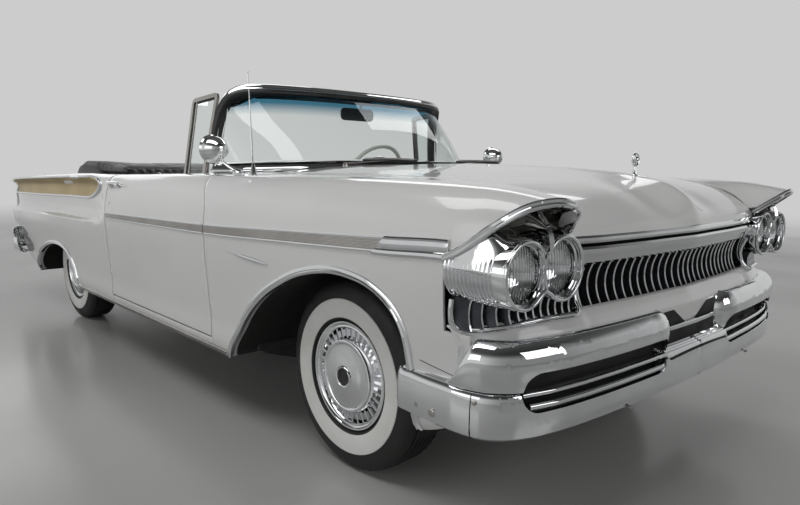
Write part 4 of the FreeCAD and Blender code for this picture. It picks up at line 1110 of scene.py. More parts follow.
fenderRun = (2.15, doorCut["front"] + doorCut["gap"] + 0.0005)
doorRun = (doorCut["front"] - 0.0005, -0.176)
for name, run, bodies in (("fenderStrip", fenderRun, shell), ("doorStrip", doorRun, doors)):
    onBothSides(name, buildStrip(*run, False), satinSteel, bodies, "chrome", smooth=30)
    onBothSides(name + "Edge", buildStrip(*run, True), chrome, bodies, "chrome", smooth=30)


widest = {"trim": 1.0035, "brow": 1.0038}


def keepInside(bm, reach):  # nothing on the right stands out past this
    for vert in bm.verts:
        vert.co.y = max(vert.co.y, -reach)


def buildArchLip(which):
    def build(bm):
        spots, outs = apart([onSide(x, max(z, 0.300))
                             for x, z in archOutline(which, grow=0.007, parts=64)])
        section = [(-0.014, -0.004), (-0.014, 0.0035), (-0.009, 0.0065), (-0.003, 0.0075),
                   (0.000, 0.0048), (0.004, 0.0075), (0.009, 0.0065), (0.0125, 0.0035),
                   (0.0125, -0.014)]
        sweep(bm, spots, [(-a, b) for a, b in section], outs)
        keepInside(bm, widest["trim"])
    return build


onBothSides("frontArchLip", buildArchLip("front"), chrome, shell, "chrome")
onBothSides("rearArchLip", buildArchLip("rear"), chrome, shell, "chrome")


def buildRockerTrim(bm):
    spots, outs = sideRun(1.150, -0.845, 0.312)
    section = [(-0.017, -0.004), (-0.017, 0.003), (-0.011, 0.0050), (0.008, 0.0050),
               (0.012, 0.0065), (0.0155, 0.003), (0.0155, -0.002)]
    sweep(bm, spots, section, outs)


onBothSides("rockerTrim", buildRockerTrim, satinSteel, shell, "chrome")

insert = {
    "upper": [(-0.30, 1.012), (-0.45, 1.0125), (-0.62, 1.010), (-1.06, 1.000), (-1.6, 0.984),
              (-2.2, 0.965), (-2.551, 0.950)],
    "lower": [(-0.30, 0.889), (-0.72, 0.886), (-1.6, 0.866), (-2.551, 0.846)],
    "front": [(-0.610, 0.0), (-0.540, 0.045), (-0.475, 0.14), (-0.400, 0.34), (-0.345, 0.56),
              (-0.318, 0.72), (-0.330, 0.85), (-0.375, 0.94), (-0.455, 1.0)],
    "rear": [(-2.520, 0.0), (-2.455, 0.22), (-2.425, 0.46), (-2.440, 0.74), (-2.480, 1.0)],
    "lift": 0.003, "frame": 0.009 * 1.6, "rows": 22,
}


def insertEnd(name, v):
    return straightAt([(share, x) for x, share in insert[name]], v)


def insertPoint(u, v):
    x = insertEnd("rear", v) * (1 - u) + insertEnd("front", v) * u
    z = levelAt(insert["lower"], x) * (1 - v) + levelAt(insert["upper"], x) * v
    return onSide(x, z, insert["lift"])


def buildInsert(bm):
    mapGrid(bm, 70, insert["rows"], lambda u, v: insertPoint(u, v)[0])
    faceOut(bm, (-1.5, -0.5, 0.9))


def buildInsertFrame(bm):
    parts, rows = 60, insert["rows"]
    loop = [(k / parts, 0.0) for k in range(parts)] + [(1.0, k / rows) for k in range(rows)]
    loop += [(1 - k / parts, 1.0) for k in range(parts)]
    loop += [(0.0, 1 - k / rows) for k in range(rows)]
    spots, outs = apart([insertPoint(u, v) for u, v in loop])
    sweep(bm, spots, roundBox(0.015, insert["frame"], 0.004), outs, closed=True)


onBothSides("quarterInsert", buildInsert, goldPanel, shell, "brushed_arm")
onBothSides("insertFrame", buildInsertFrame, chrome, shell, "chrome")


def buildDart(bm):  # a plain bright spear in place of the fender's script
    spots, outs = sideRun(1.52, 1.20, lambda x: 0.735 + (1.52 - x) * 0.06, 0.012, 0.002)
    sweep(bm, spots, ring(0.0075, 10, 0.55), outs,
          scale=lambda u: 0.12 + 0.95 * math.sin(math.pi * min(u * 1.25 + 0.03, 1.0)) ** 0.7)


onBothSides("fenderSpear", buildDart, chrome, shell, "chrome")


handle = {"front": 0.020, "rear": -0.160, "height": 0.978, "lift": 0.024,
          "feet": ((0.004, 0.012), (-0.118, 0.017))}


def buildHandle(bm):  # pull bar on two feet, with its push button and the lock below
    height, lift = handle["height"], handle["lift"]
    spots, outs = sideRun(handle["front"], handle["rear"], height, 0.012, lift)
    sweep(bm, spots, ring(0.0085, 12, 0.62), outs,
          scale=lambda u: 0.75 + 0.4 * math.sin(math.pi * u))
    for x, wide in handle["feet"]:
        foot, out = onSide(x, 0.974, -0.002)
        tip, _ = onSide(x, height, lift)
        sweep(bm, [foot, foot.lerp(tip, 0.5), tip], ring(wide, 14, 0.7), (1, 0, 0),
              scale=lambda u: 1.25 - 0.5 * u)
    foot, out = onSide(-0.150, 0.985, -0.002)
    sweep(bm, [foot, foot + out * 0.02, foot + out * 0.026], ring(0.011, 18), (1, 0, 0),
          scale=lambda u: 1.0 if u < 0.9 else 0.8)
    lock, out = onSide(-0.130, 0.880, -0.001)
    sweep(bm, [lock, lock + out * 0.004, lock + out * 0.0055], ring(0.011, 18), (1, 0, 0),
          scale=lambda u: 1.0 if u < 0.9 else 0.72)


onBothSides("doorHandle", buildHandle, chrome, doors, "chrome")


def buildSeam(bm):  # the joint low on the fender, ahead of the wheel
    spots, outs = sideRun(2.292, 2.418, lambda x: 0.556 - (x - 2.29) * 0.16, 0.01, -0.0006)
    sweep(bm, spots, roundBox(0.0028, 0.0024, 0.0008, 1), outs)


onBothSides("fenderSeam", buildSeam, slotAndShadeBlack, shell, "frame_black")
print("stage: side trim fitted")

# brow, lamps and their pods
lamp = {
    "outer": (-0.912, 0.829), "inner": (-0.7475, 0.833), "face": 2.598, "barrel": 0.0912,
    "lensRadius": 0.0735, "recess": 0.016, "back": 2.392, "ribs": 12, "ribPitch": 0.0135,
    "ribRise": 0.006,
}
bothLamps = (lamp["outer"], lamp["inner"])
browEdge = [(2.388, -0.9945, 0.858), (2.425, -0.9945, 0.874), (2.50, -0.991, 0.918),
            (2.57, -0.977, 0.967), (2.617, -0.946, 0.999), (2.646, -0.893, 1.012),
            (2.654, -0.825, 1.0095), (2.643, -0.768, 0.992), (2.604, -0.722, 0.956),
            (2.566, -0.690, 0.922)]


def buildBrowBand(bm):
    path = smoothLine(browEdge, 8)
    outs = []
    for spot in path:
        away = Vector((0.35 * ramp(spot.x, 2.56, 2.65), -1 + 1.5 * ramp(spot.y, -0.99, -0.70), 0))
        outs.append((away.normalized() + Vector((0, 0, 0.25))).normalized())
    section = [(-0.010, -0.006), (-0.011, 0.001), (-0.006, 0.0045), (0.000, 0.0025),
               (0.005, 0.006), (0.009, 0.0045), (0.011, 0.0), (0.009, -0.007)]
    sweep(bm, path, section, outs, scale=lambda u: 0.95 + 0.15 * math.sin(math.pi * u))
    keepInside(bm, widest["brow"])


onBothSides("browBand", buildBrowBand, chrome, shell, "chrome")

browFold = [(2.390, -0.9935, 0.850), (2.425, -0.9925, 0.868), (2.470, -0.990, 0.896),
            (2.512, -0.986, 0.920), (2.538, -0.972, 0.933), (2.548, -0.940, 0.929),
            (2.552, -0.900, 0.923), (2.552, -0.850, 0.918), (2.552, -0.800, 0.912),
            (2.552, -0.750, 0.911), (2.552, -0.700, 0.910), (2.556, -0.668, 0.914)]
browRoof = [(2.388, -0.990, 0.852), (2.41, -0.984, 0.868), (2.445, -0.972, 0.905),
            (2.475, -0.955, 0.940), (2.50, -0.925, 0.965), (2.510, -0.880, 0.976),
            (2.515, -0.840, 0.978), (2.515, -0.800, 0.972), (2.520, -0.755, 0.955),
            (2.535, -0.705, 0.925)]
cheekRows = [
    [(2.391, -1.0005, 0.838), (2.430, -1.003, 0.836), (2.470, -1.0035, 0.8345),
     (2.510, -1.0035, 0.833), (2.548, -1.0035, 0.831), (2.575, -1.0030, 0.834),
     (2.594, -0.997, 0.864), (2.597, -0.972, 0.899), (2.598, -0.912, 0.921),
     (2.598, -0.862, 0.906), (2.598, -0.830, 0.886), (2.598, -0.797, 0.910),
     (2.598, -0.7475, 0.925), (2.598, -0.695, 0.908), (2.592, -0.663, 0.878)],
    [(2.390, -0.9995, 0.842), (2.428, -1.0005, 0.850), (2.470, -0.998, 0.862),
     (2.512, -0.994, 0.876), (2.545, -0.988, 0.888), (2.566, -0.976, 0.902),
     (2.578, -0.956, 0.912), (2.582, -0.930, 0.919), (2.582, -0.890, 0.919),
     (2.580, -0.850, 0.908), (2.580, -0.827, 0.900), (2.580, -0.797, 0.908),
     (2.580, -0.7475, 0.916), (2.580, -0.700, 0.910), (2.578, -0.664, 0.890)],
]


def buildBrowBowl(bm):
    rim = [Vector(p) + Vector((-0.004, 0.004, -0.006)) for p in browEdge]
    floor = evenPoints(browFold, 10)
    rows = [rim, [a.lerp(Vector(b), 0.5) + Vector((0, 0, 0.006)) for a, b in zip(rim, browRoof)],
            browRoof, [Vector(a).lerp(Vector(b), 0.5) + Vector((-0.012, 0, 0))
                       for a, b in zip(browRoof, floor)], floor]
    netSurface(bm, rows, 8, 5)
    faceOut(bm, (2.3, -0.85, 1.3))


def evenPoints(points, count):  # count spots spaced evenly along a line
    line = smoothLine([Vector(p) for p in points], 12)
    spans = [0.0]
    for a, b in zip(line, line[1:]):
        spans.append(spans[-1] + (b - a).length)
    spots = []
    for k in range(count):
        want = spans[-1] * k / (count - 1)
        at = min(range(len(line)), key=lambda i: abs(spans[i] - want))
        spots.append(line[at])
    return spots


def buildCheek(bm):  # the bright casting between the brow and the barrels
    fold = evenPoints(browFold, 15)
    netSurface(bm, cheekRows + [fold], 6, 5)
    faceOut(bm, (2.3, -0.85, 0.80))


onBothSides("browBowl", buildBrowBowl, browHollowShadeChrome, shell, "chrome", smooth=50)
onBothSides("browCheek", buildCheek, chrome, shell, "chrome", wall=(0.003, 0), smooth=50)


def podOutline(radius):
    step = lamp["ribPitch"]
    line = [(0.0, lamp["back"] + 0.002), (radius - lamp["ribRise"], lamp["back"] + 0.002)]
    for k in range(lamp["ribs"]):
        at = lamp["back"] + 0.002 + k * step
        for part, rise in ((0.12, -1.0), (0.26, -0.25), (0.50, 0.0), (0.74, -0.25), (0.88, -1.0)):
            line.append((radius + lamp["ribRise"] * rise, at + step * part))
    last = lamp["back"] + lamp["ribs"] * step + 0.004
    face, deep = lamp["face"], lamp["recess"]
    return line + [(radius - 0.006, last), (radius, last + 0.002), (radius, face - 0.012),
                   (radius - 0.002, face - 0.002), (radius - 0.005, face),
                   (radius - 0.009, face - 0.003), (lamp["lensRadius"] + 0.006, face - deep),
                   (lamp["lensRadius"] + 0.001, face - deep - 0.004)]


def buildPods(bm):
    for (y, z), less in zip(bothLamps, (0, 0.003)):
        lathe(bm, podOutline(lamp["barrel"] - less), "x", (0, y, z), 72)
    cutAway(bm, [((0, -0.6335, 0), (0, 1, 0))])


onBothSides("lampPods", buildPods, chrome, shell, "chrome", smooth=38)


lampMiddle = (lamp["outer"][0] + lamp["inner"][0]) / 2


def gogglePath():  # round both lamps, drawn in at the waist between them
    reach = lamp["barrel"] - 0.006
    points = []
    for (y, z), start, waist in zip(bothLamps, (48, -132), (0.050, -0.050)):
        points.append((lampMiddle, z + waist))
        for angle in (math.radians(turn) for turn in evenly(start, 264, 32)):
            points.append((y + reach * math.cos(angle), z + reach * math.sin(angle)))
    return [Vector((lamp["face"] + 0.001, y, z)) for y, z in points]


def buildGoggles(bm):
    path = gogglePath()
    sweep(bm, path, roundBox(0.010, 0.012, 0.004), (1, 0, 0), closed=True)
    r, face = lamp["lensRadius"], lamp["face"] - lamp["recess"]
    for y, z in bothLamps:  # the rims that hold the lenses
        lathe(bm, [(r + 0.008, face - 0.008), (r + 0.008, face + 0.004), (r + 0.005, face + 0.007),
                   (r + 0.001, face + 0.004), (r, face - 0.006), (r + 0.008, face - 0.008)], "x",
              (0, y, z), 56)
    middle, z = lampMiddle, lamp["outer"][1]
    web = [(middle - 0.030, z + 0.070), (middle, z + 0.049), (middle + 0.030, z + 0.072),
           (middle + 0.012, z), (middle + 0.030, z - 0.070), (middle, z - 0.050),
           (middle - 0.030, z - 0.070), (middle - 0.012, z)]
    verts = [bm.verts.new((lamp["face"] - 0.006, a, b)) for a, b in web]
    bm.faces.new(verts)
    keepInside(bm, widest["trim"])


onBothSides("lampGoggles", buildGoggles, chrome, shell, "chrome", smooth=42)


def buildLampBowl(bm):
    r, face = lamp["lensRadius"], lamp["face"] - lamp["recess"]
    outline = [(r + 0.001, face - 0.012)]
    for k in range(1, 13):
        t = 1 - k / 12
        outline.append((r * t, face - 0.012 - 0.045 * (1 - t * t)))
    for y, z in bothLamps:
        lathe(bm, outline, "x", (0, y, z), 48)
        lathe(bm, [(0.0, face - 0.058), (0.010, face - 0.054), (0.012, face - 0.032),
                   (0.007, face - 0.026), (0.0, face - 0.025)], "x", (0, y, z), 20)


onBothSides("lampBowls", buildLampBowl, mirrorGlass, shell, "chrome")


def buildLens(bm):
    r, face = lamp["lensRadius"], lamp["face"] - lamp["recess"] + 0.004
    outline = [(0.0, face - 0.0005)]
    for k in range(1, 11):
        t = k / 10
        outline.append((r * t, face - 0.0005 - 0.011 * t * t))
    outline += [(r * t / 10, face - 0.015) for t in range(10, -1, -2)]
    for y, z in bothLamps:
        lathe(bm, outline, "x", (0, y, z), 48)


for side, body in zip(("right", "left"), shell):
    bm = bmesh.new()
    buildLens(bm)
    bmesh.ops.recalc_face_normals(bm, faces=bm.faces)
    if side == "left":
        flipSide(bm)
    addPiece(f"lampLenses_{side}", bm, lampGlass, body, "lamp_glass",
             ("headlamp_lenses", "headlamp_pods") if side == "right" else (), tidy=False)


def buildBlade(bm):
    spots = [(2.604, 0.870, 0.25), (2.612, 0.888, 0.60), (2.613, 0.905, 0.95),
             (2.609, 0.925, 1.0), (2.600, 0.947, 0.72), (2.588, 0.967, 0.40), (2.574, 0.985, 0.06)]
    path = [Vector((x, lampMiddle, z)) for x, z, _ in spots]
    diamond = [(0.0, 0.008), (-0.010, 0.0), (0.0, -0.006), (0.010, 0.0)]
    sweep(bm, path, diamond, (1, 0, 0), scale=lambda u: spots[round(u * (len(spots) - 1))][2])


onBothSides("browBlade", buildBlade, chrome, shell, "chrome", smooth=15)

casting = {"front": 2.402, "rear": 2.098}


def buildCasting(bm):
    spots, outs = sideRun(casting["rear"], casting["front"],
                          lambda x: 0.8665 + 0.012 * ramp(x, 2.10, 2.40), 0.012)
    section = [(-0.030, -0.004), (-0.0285, 0.004), (-0.021, 0.0085), (-0.013, 0.0075),
               (-0.008, 0.003), (-0.002, 0.0065), (0.010, 0.0075), (0.019, 0.0055),
               (0.024, 0.0085), (0.0285, 0.0045), (0.030, -0.004)]
    sweep(bm, spots, [(-a, b) for a, b in section], outs)
    low, high = Vector((2.102, 0, 0.842)), Vector((2.158, 0, 0.897))
    lean = (high - low).cross(Vector((0, 1, 0))).normalized()
    if lean.x > 0:
        lean.negate()
    cutAway(bm, [(low, lean)])
    closeEnds(bm)
    keepInside(bm, widest["brow"])


onBothSides("browCasting", buildCasting, chrome, shell, "chrome", smooth=28)
print("stage: lamps and brows fitted")


# grille
noseX = [(0.0, 2.6250), (0.13, 2.618), (0.32, 2.6105), (0.56, 2.591), (0.69, 2.566)]


def frontLine(y):  # how far forward the hood's lip is at y
    y = abs(y)
    lastY, lastX = noseX[-1]
    return straightAt(noseX, y) if y <= lastY else lastX - (y - lastY) * 0.45


def frontPath(half, z, parts=40):
    places = [half * (2 * k / parts - 1) for k in range(parts + 1)]
    return [Vector((frontLine(y), y, z)) for y in places]


grille = {"bars": 27, "half": 0.600, "top": 0.832, "bottom": 0.692, "sag": 0.022, "deep": 0.045,
          "thick": 0.0052, "set": 0.030, "podFrom": 0.672, "podTo": 0.955, "podBars": 12,
          "podTop": 0.758, "podBottom": 0.690, "podDrop": 0.022}


def finAt(bm, y, x, low, high, sag, turn=0.0):  # a thin upright blade, hollow to the front
    half = grille["thick"] / 2
    steps = 10
    loop = [(0.0, -half), (0.0035, 0.0), (0.0, half), (-grille["deep"], half * 0.8),
            (-grille["deep"], -half * 0.8)]
    path = []
    for k in range(steps + 1):
        t = k / steps * 2 - 1
        path.append(Vector((x - sag * (1 - t * t), y, low + (high - low) * k / steps)))
    count = len(loop)
    c, s = math.cos(turn), math.sin(turn)

    def place(u, v):
        a, b = loop[round(v * count) % count]
        return path[round(u * steps)] + Vector((a * c - b * s, a * s + b * c, 0))

    made = mapGrid(bm, steps, count, place)
    bmesh.ops.remove_doubles(bm, verts=made, dist=1e-5)
    # faces more than 6 mm behind the fin's front edge take the second finish, painted shade
    # between the bars
    for vert in made:
        if vert.is_valid:
            for face in vert.link_faces:
                spot = face.calc_center_median()
                deep = x - sag * (1 - ((spot.z - low) / (high - low) * 2 - 1) ** 2) - spot.x
                face.material_index = 1 if deep > 0.006 else 0


def rowFace(start, y, bend, end=0.99):  # how far forward the row under the lamps is at y
    return start - 0.055 * ramp(y, 0.60, 0.95) - bend * ramp(y, 0.86, end)


def buildGrille(bm):
    for k in range(grille["bars"]):
        y = grille["half"] * (2 * (k + 0.5) / grille["bars"] - 1)
        finAt(bm, y, frontLine(y) - grille["set"], grille["bottom"], grille["top"],
              grille["sag"])
    for side in (-1, 1):
        for y in evenly(grille["podFrom"], grille["podTo"] - grille["podFrom"],
                        grille["podBars"] - 1):
            finAt(bm, side * y, rowFace(2.585, y, 0.08, 0.98),
                  grille["podBottom"] - grille["podDrop"] * ramp(y, 0.84, 0.96),
                  grille["podTop"], 0.010, -side * 0.5 * ramp(y, 0.85, 0.95))


onePiece("grilleBars", buildGrille, chrome, "body_shell", "chrome", ("grille",), smooth=30,
         extra=(finDepthShade,))


# painted shade: black sheets set behind the bars, across the middle and behind the rows under the
# lamps
def buildGrilleShadeSheets(bm):
    for half, low, high, back in ((0.66, 0.66, 0.90, 0.09), (0.968, 0.666, 0.86, 0.0)):
        def place(u, v):
            y = (2 * u - 1) * half
            x = frontLine(y) - back if back else 2.515 - 0.12 * ramp(abs(y), 0.80, 0.985)
            return Vector((x, y, low + (high - low) * v))
        mapGrid(bm, 40, 2, place)


onePiece("grilleShade", buildGrilleShadeSheets, slotAndShadeBlack, "body_shell", "frame_black")


def buildLip(bm):
    sweep(bm, [p - Vector((0.001, 0, 0)) for p in frontPath(0.684, 0.899)],
          [(-0.004, -0.011), (0.006, -0.010), (0.010, -0.003), (0.009, 0.005), (0.004, 0.011),
           (-0.004, 0.011)])


def buildHeader(bm):
    sweep(bm, frontPath(0.664, 0.868),
          [(-0.034, -0.042), (-0.012, -0.042), (-0.004, -0.036), (0.004, -0.014),
           (0.0105, -0.004), (0.011, 0.004), (0.006, 0.011), (-0.010, 0.011)])


onePiece("hoodLip", buildLip, chrome, "hood", "chrome")
onePiece("grilleHeader", buildHeader, chrome, "body_shell", "chrome")


def buildGrilleEnd(bm):  # the bright upright between the bars and the lamps
    spots = [(0.618, 0.828, 0.0), (0.621, 0.79, -0.016), (0.624, 0.75, -0.020),
             (0.630, 0.715, -0.010), (0.642, 0.694, 0.008), (0.660, 0.688, 0.014)]
    path = smoothLine([Vector((frontLine(y) - 0.022 + dx, -y, z)) for y, z, dx in spots], 5)
    sweep(bm, path, roundBox(0.016, 0.052, 0.006, 3), (1, 0, 0))


onBothSides("grilleEnd", buildGrilleEnd, chrome, shell, "chrome")


def valancePoint(u, v):
    y = (2 * u - 1) * 0.985
    side = abs(y)
    x = frontLine(y) - 0.032
    if side > 0.60:
        x = rowFace(2.560, side, 0.105)
    top = 0.699 - 0.020 * ramp(side, 0.80, 0.97)
    rows = [(0.0, top), (0.012, top - 0.004), (0.026, top - 0.020), (0.040, top - 0.042),
            (0.043, top - 0.050), (0.036, top - 0.125)]
    k = min(int(v * 5 + 1e-6), 4)
    t = v * 5 - k
    a, b = rows[k], rows[k + 1]
    return Vector((x + a[0] * (1 - t) + b[0] * t, y, a[1] * (1 - t) + b[1] * t))


def buildValance(bm):
    mapGrid(bm, 90, 20, valancePoint)
    faceOut(bm, (2.0, 0, 0.4))


onePiece("grilleSill", buildValance, paint, "body_shell", "body_paint", tidy=False,
         wall=(0.006,))


def buildRowFrame(bm):  # the bright loop round the bars under the lamps
    front = [(0.668, 0.693), (0.75, 0.692), (0.84, 0.688), (0.90, 0.676), (0.945, 0.667),
             (0.970, 0.671), (0.984, 0.690), (0.988, 0.716), (0.985, 0.752)]
    path = [(rowFace(2.589, y, 0.118), -y, z) for y, z in front]
    sweep(bm, smoothLine(path, 5), roundBox(0.014, 0.016, 0.005), (0.3, -0.4, 1))


onBothSides("rowFrame", buildRowFrame, chrome, shell, "chrome")
print("stage: grille fitted")

# bumpers
bumper = {
    "plan": [(2.196, 0.973), (2.206, 0.984), (2.26, 0.9935), (2.38, 0.9995), (2.46, 0.9985),
             (2.52, 0.984), (2.568, 0.948), (2.600, 0.895), (2.630, 0.790), (2.648, 0.66),
             (2.661, 0.50), (2.670, 0.32), (2.675, 0.16), (2.677, 0.0)],
    "section": [(0.396, 0.060), (0.3895, 0.034), (0.3885, 0.016), (0.398, 0.003), (0.425, 0.0),
                (0.470, 0.0005), (0.500, 0.003), (0.513, 0.007), (0.5175, 0.0125),
                (0.5165, 0.0165), (0.5215, 0.0195), (0.5205, 0.0245), (0.5255, 0.0275),
                (0.5245, 0.0325), (0.5285, 0.0375), (0.526, 0.060)],
    "podPlan": [(2.405, 0.989), (2.43, 0.996), (2.48, 0.9955), (2.53, 0.9775), (2.574, 0.940),
                (2.606, 0.888), (2.636, 0.785), (2.654, 0.655), (2.667, 0.50), (2.674, 0.330),
                (2.6745, 0.275), (2.667, 0.243), (2.648, 0.220), (2.615, 0.206), (2.580, 0.202)],
    "podSection": [(0.5225, 0.004), (0.535, 0.001), (0.553, 0.000), (0.566, -0.002),
                   (0.584, -0.004), (0.604, -0.003), (0.624, 0.003), (0.640, 0.013),
                   (0.6505, 0.025), (0.655, 0.037), (0.6520, 0.050),
                   (0.638, 0.072), (0.629, 0.098), (0.629, 0.125), (0.640, 0.150)],
    "opening": (0.236, 0.900, 0.462, 0.574),
}


def planLine(points, steps):
    line = smoothLine([(x, -y, 0) for x, y in points], steps)
    outs = []
    for k in range(len(line)):
        run = line[min(k + 1, len(line) - 1)] - line[max(k - 1, 0)]
        outs.append(Vector((run.y, -run.x, 0)).normalized())
    return line, outs


def wrapSheet(bm, plan, section, steps, rise=None):
    line, outs = planLine(plan, steps)
    along, across = len(line) - 1, len(section) - 1

    def place(u, v):
        k, j = round(u * along), round(v * across)
        z, inset = section[j]
        if rise:
            base = section[0][0]
            lifted = rise(line[k])
            z = base + (z - base) * lifted
            inset = inset * (0.35 + 0.65 * lifted)
        spot = line[k] - outs[k] * inset
        return Vector((spot.x, spot.y, z))

    mapGrid(bm, along, across, place)


def openingOutline(grow=0.0):
    inner, outer, low, high = bumper["opening"]
    middle = -(inner + outer) / 2
    return [(middle + a, (low + high) / 2 + b)
            for a, b in roundBox(outer - inner + 2 * grow, high - low + 2 * grow, 0.048, 6)]


def foldBack(bm, depth):  # turns the opening's edge back into the bumper
    inner, outer, low, high = bumper["opening"]

    def onEdge(edge):
        spot = (edge.verts[0].co + edge.verts[1].co) / 2
        return edge.is_boundary and -outer - 0.004 < spot.y < -inner + 0.004 \
            and low - 0.004 < spot.z < high + 0.004 and spot.x > 2.55

    edges = [e for e in bm.edges if onEdge(e)
             and not all(abs(v.co.z - 0.5225) < 1e-4 or v.co.z > 0.5275 and v.co.x < 2.63
                         for v in e.verts)]
    turnEdge(bm, edges, (-depth, 0, 0))


def podRise(spot):
    return 0.04 + 0.96 * ramp(spot.x, 2.405, 2.50) if spot.y < -0.9 else 1.0


def buildBumperHalf(bm):
    wrapSheet(bm, bumper["plan"], bumper["section"], 7)
    weld(bm)
    cutHole(bm, openingOutline(), axis="x", where=atNose)
    foldBack(bm, 0.045)
    faceOut(bm, (2.3, -0.5, 0.46))


def buildPod(bm):
    wrapSheet(bm, bumper["podPlan"], bumper["podSection"], 7, podRise)
    cutHole(bm, openingOutline(), axis="x", where=atNose)
    foldBack(bm, 0.045)
    faceOut(bm, (2.35, -0.55, 0.50))


plated = (0.004, 0.0008)
onBothSides("bumperBar", buildBumperHalf, chrome, shell, "chrome", wall=plated, smooth=35)
onBothSides("bumperPod", buildPod, chrome, shell, "chrome", wall=plated, smooth=35)


def barFront(y):  # how far forward the bumper's bar is at y
    return straightAt(sorted((b, a) for a, b in bumper["plan"] if a > 2.55), abs(y))


def innerBar(bm, y0, y1, z, back, section):
    sweep(bm, [Vector((barFront(y) - back, -y, z)) for y in evenly(y0, y1 - y0, 24)], section)


def buildInnerBars(bm):
    inner, outer = bumper["opening"][:2]
    innerBar(bm, inner - 0.02, outer - 0.014, 0.508, 0.026, roundBox(0.026, 0.014, 0.006, 4))
    innerBar(bm, inner - 0.02, outer - 0.030, 0.476, 0.018, roundBox(0.028, 0.018, 0.008, 4))


onBothSides("bumperInnerBars", buildInnerBars, chrome, shell, "chrome")


def buildBumperShade(bm):  # painted shade: black sheets behind the openings and between the pods
    for side in (-1, 1):
        def place(u, v):
            y = 0.22 + 0.69 * u
            return Vector((barFront(y) - 0.052, side * y, 0.455 + 0.17 * v))
        mapGrid(bm, 20, 2, place)
    mapGrid(bm, 4, 2, lambda u, v: Vector((2.628, -0.215 + 0.43 * u, 0.515 + 0.122 * v)))


onePiece("bumperShade", buildBumperShade, slotAndShadeBlack, "body_shell", "frame_black",
         ("front_bumper",))


def buildBumperLines(bm):  # the dark slot low on the bar between the pods
    low = [Vector((barFront(y) + 0.0005, y, 0.497 + 0.006 * (1 - (y / 0.2) ** 2)))
           for y in evenly(-0.22, 0.44, 20)]
    sweep(bm, low, roundBox(0.003, 0.007, 0.0012, 2))


onePiece("bumperSlots", buildBumperLines, slotAndShadeBlack, "body_shell", "frame_black")


def buildCentreBar(bm):
    path = [Vector((2.640 - 0.008 * (y / 0.2) ** 2, y, 0.580)) for y in evenly(-0.204, 0.408, 20)]
    sweep(bm, path, roundBox(0.010, 0.016, 0.004, 3))


onePiece("bumperCentreBar", buildCentreBar, chrome, "body_shell", "chrome")


def bolt(bm, spot, out, radius, tall, sides=18):
    spot, out = Vector(spot), Vector(out).normalized()
    outline = [(0.0, tall), (radius * 0.55, tall * 0.93), (radius * 0.86, tall * 0.62),
               (radius, tall * 0.15), (radius, -0.002)]
    lathe(bm, outline, out, spot, sides)


def buildBolts(bm):
    for x, z in ((2.303, 0.432), (2.365, 0.427)):
        y = -0.9935 if x < 2.33 else -0.9985
        bolt(bm, (x, y, z), (0, -1, 0), 0.0135, 0.0045)
    bolt(bm, (2.505, -0.9865, 0.492), (0.35, -1, 0), 0.009, 0.004, 6)
    bolt(bm, (2.665, -0.46, 0.3935), (0.3, 0, -1), 0.007, 0.006)


onBothSides("bumperBolts", buildBolts, satinSteel, shell, "chrome")


def buildBumperSeam(bm):
    line, outs = planLine(bumper["plan"], 7)
    at = min(range(len(line)), key=lambda k: abs(line[k].x - 2.492) + (line[k].y > -0.9))
    path = [Vector((line[at].x, line[at].y, z)) + outs[at] * (-inset + 0.0002)
            for z, inset in bumper["section"][2:8]]
    sweep(bm, smoothLine(path, 4), roundBox(0.0022, 0.002, 0.0006, 1), outs[at])


onBothSides("bumperSeam", buildBumperSeam, slotAndShadeBlack, shell, "frame_black")

rearBumper = {
    "plan": [(2.045, 0.975), (2.07, 0.986), (2.16, 0.993), (2.30, 0.996), (2.42, 0.990),
             (2.52, 0.962), (2.590, 0.905), (2.630, 0.81), (2.650, 0.66), (2.664, 0.45),
             (2.674, 0.22), (2.678, 0.0)],
    "section": [(0.400, 0.060), (0.3885, 0.030), (0.3875, 0.014), (0.400, 0.002), (0.440, 0.0),
                (0.476, 0.006), (0.486, 0.012), (0.494, 0.012), (0.504, 0.004), (0.530, 0.0005),
                (0.552, 0.006), (0.567, 0.018), (0.5735, 0.036), (0.572, 0.070)],
}


def buildRearBumper(bm):
    wrapSheet(bm, rearBumper["plan"], rearBumper["section"], 7)
    bmesh.ops.scale(bm, vec=(-1, 1, 1), verts=bm.verts)
    cutAway(bm, [((-2.448, 0, 0.586), (0.571, 0, 0.821))])
    faceOut(bm, (-2.3, -0.5, 0.48))


onBothSides("rearBumperBar", buildRearBumper, chrome, shell, "chrome", wall=plated, smooth=35)


def buildRearGuards(bm):  # an upright guard on the bar
    path = [(-2.653, -0.40, 0.40), (-2.669, -0.40, 0.43), (-2.6705, -0.40, 0.49),
            (-2.664, -0.40, 0.555), (-2.637, -0.40, 0.590)]
    sweep(bm, smoothLine(path, 6), roundBox(0.060, 0.014, 0.006, 4), (-1, 0, 0))


onBothSides("rearGuards", buildRearGuards, chrome, shell, "chrome")
print("stage: bumpers hung")


# tail
tailLamp = {"inner": -0.730, "wide": 0.165, "low": 0.650, "tall": 0.235,
            "bars": (0.705, 0.765, 0.825)}


def buildTailLens(bm):
    def place(u, v):
        y = tailLamp["inner"] - tailLamp["wide"] * v
        z = tailLamp["low"] + tailLamp["tall"] * u
        bulge = math.sin(math.pi * u) ** 0.5 * math.sin(math.pi * v) ** 0.5
        edge = 0.030 * ramp(abs(y), 0.80, 0.90)
        return Vector((-2.560 - 0.040 * bulge + edge, y, z))
    mapGrid(bm, 24, 20, place)
    faceOut(bm, (-2.4, -0.8, 0.76))


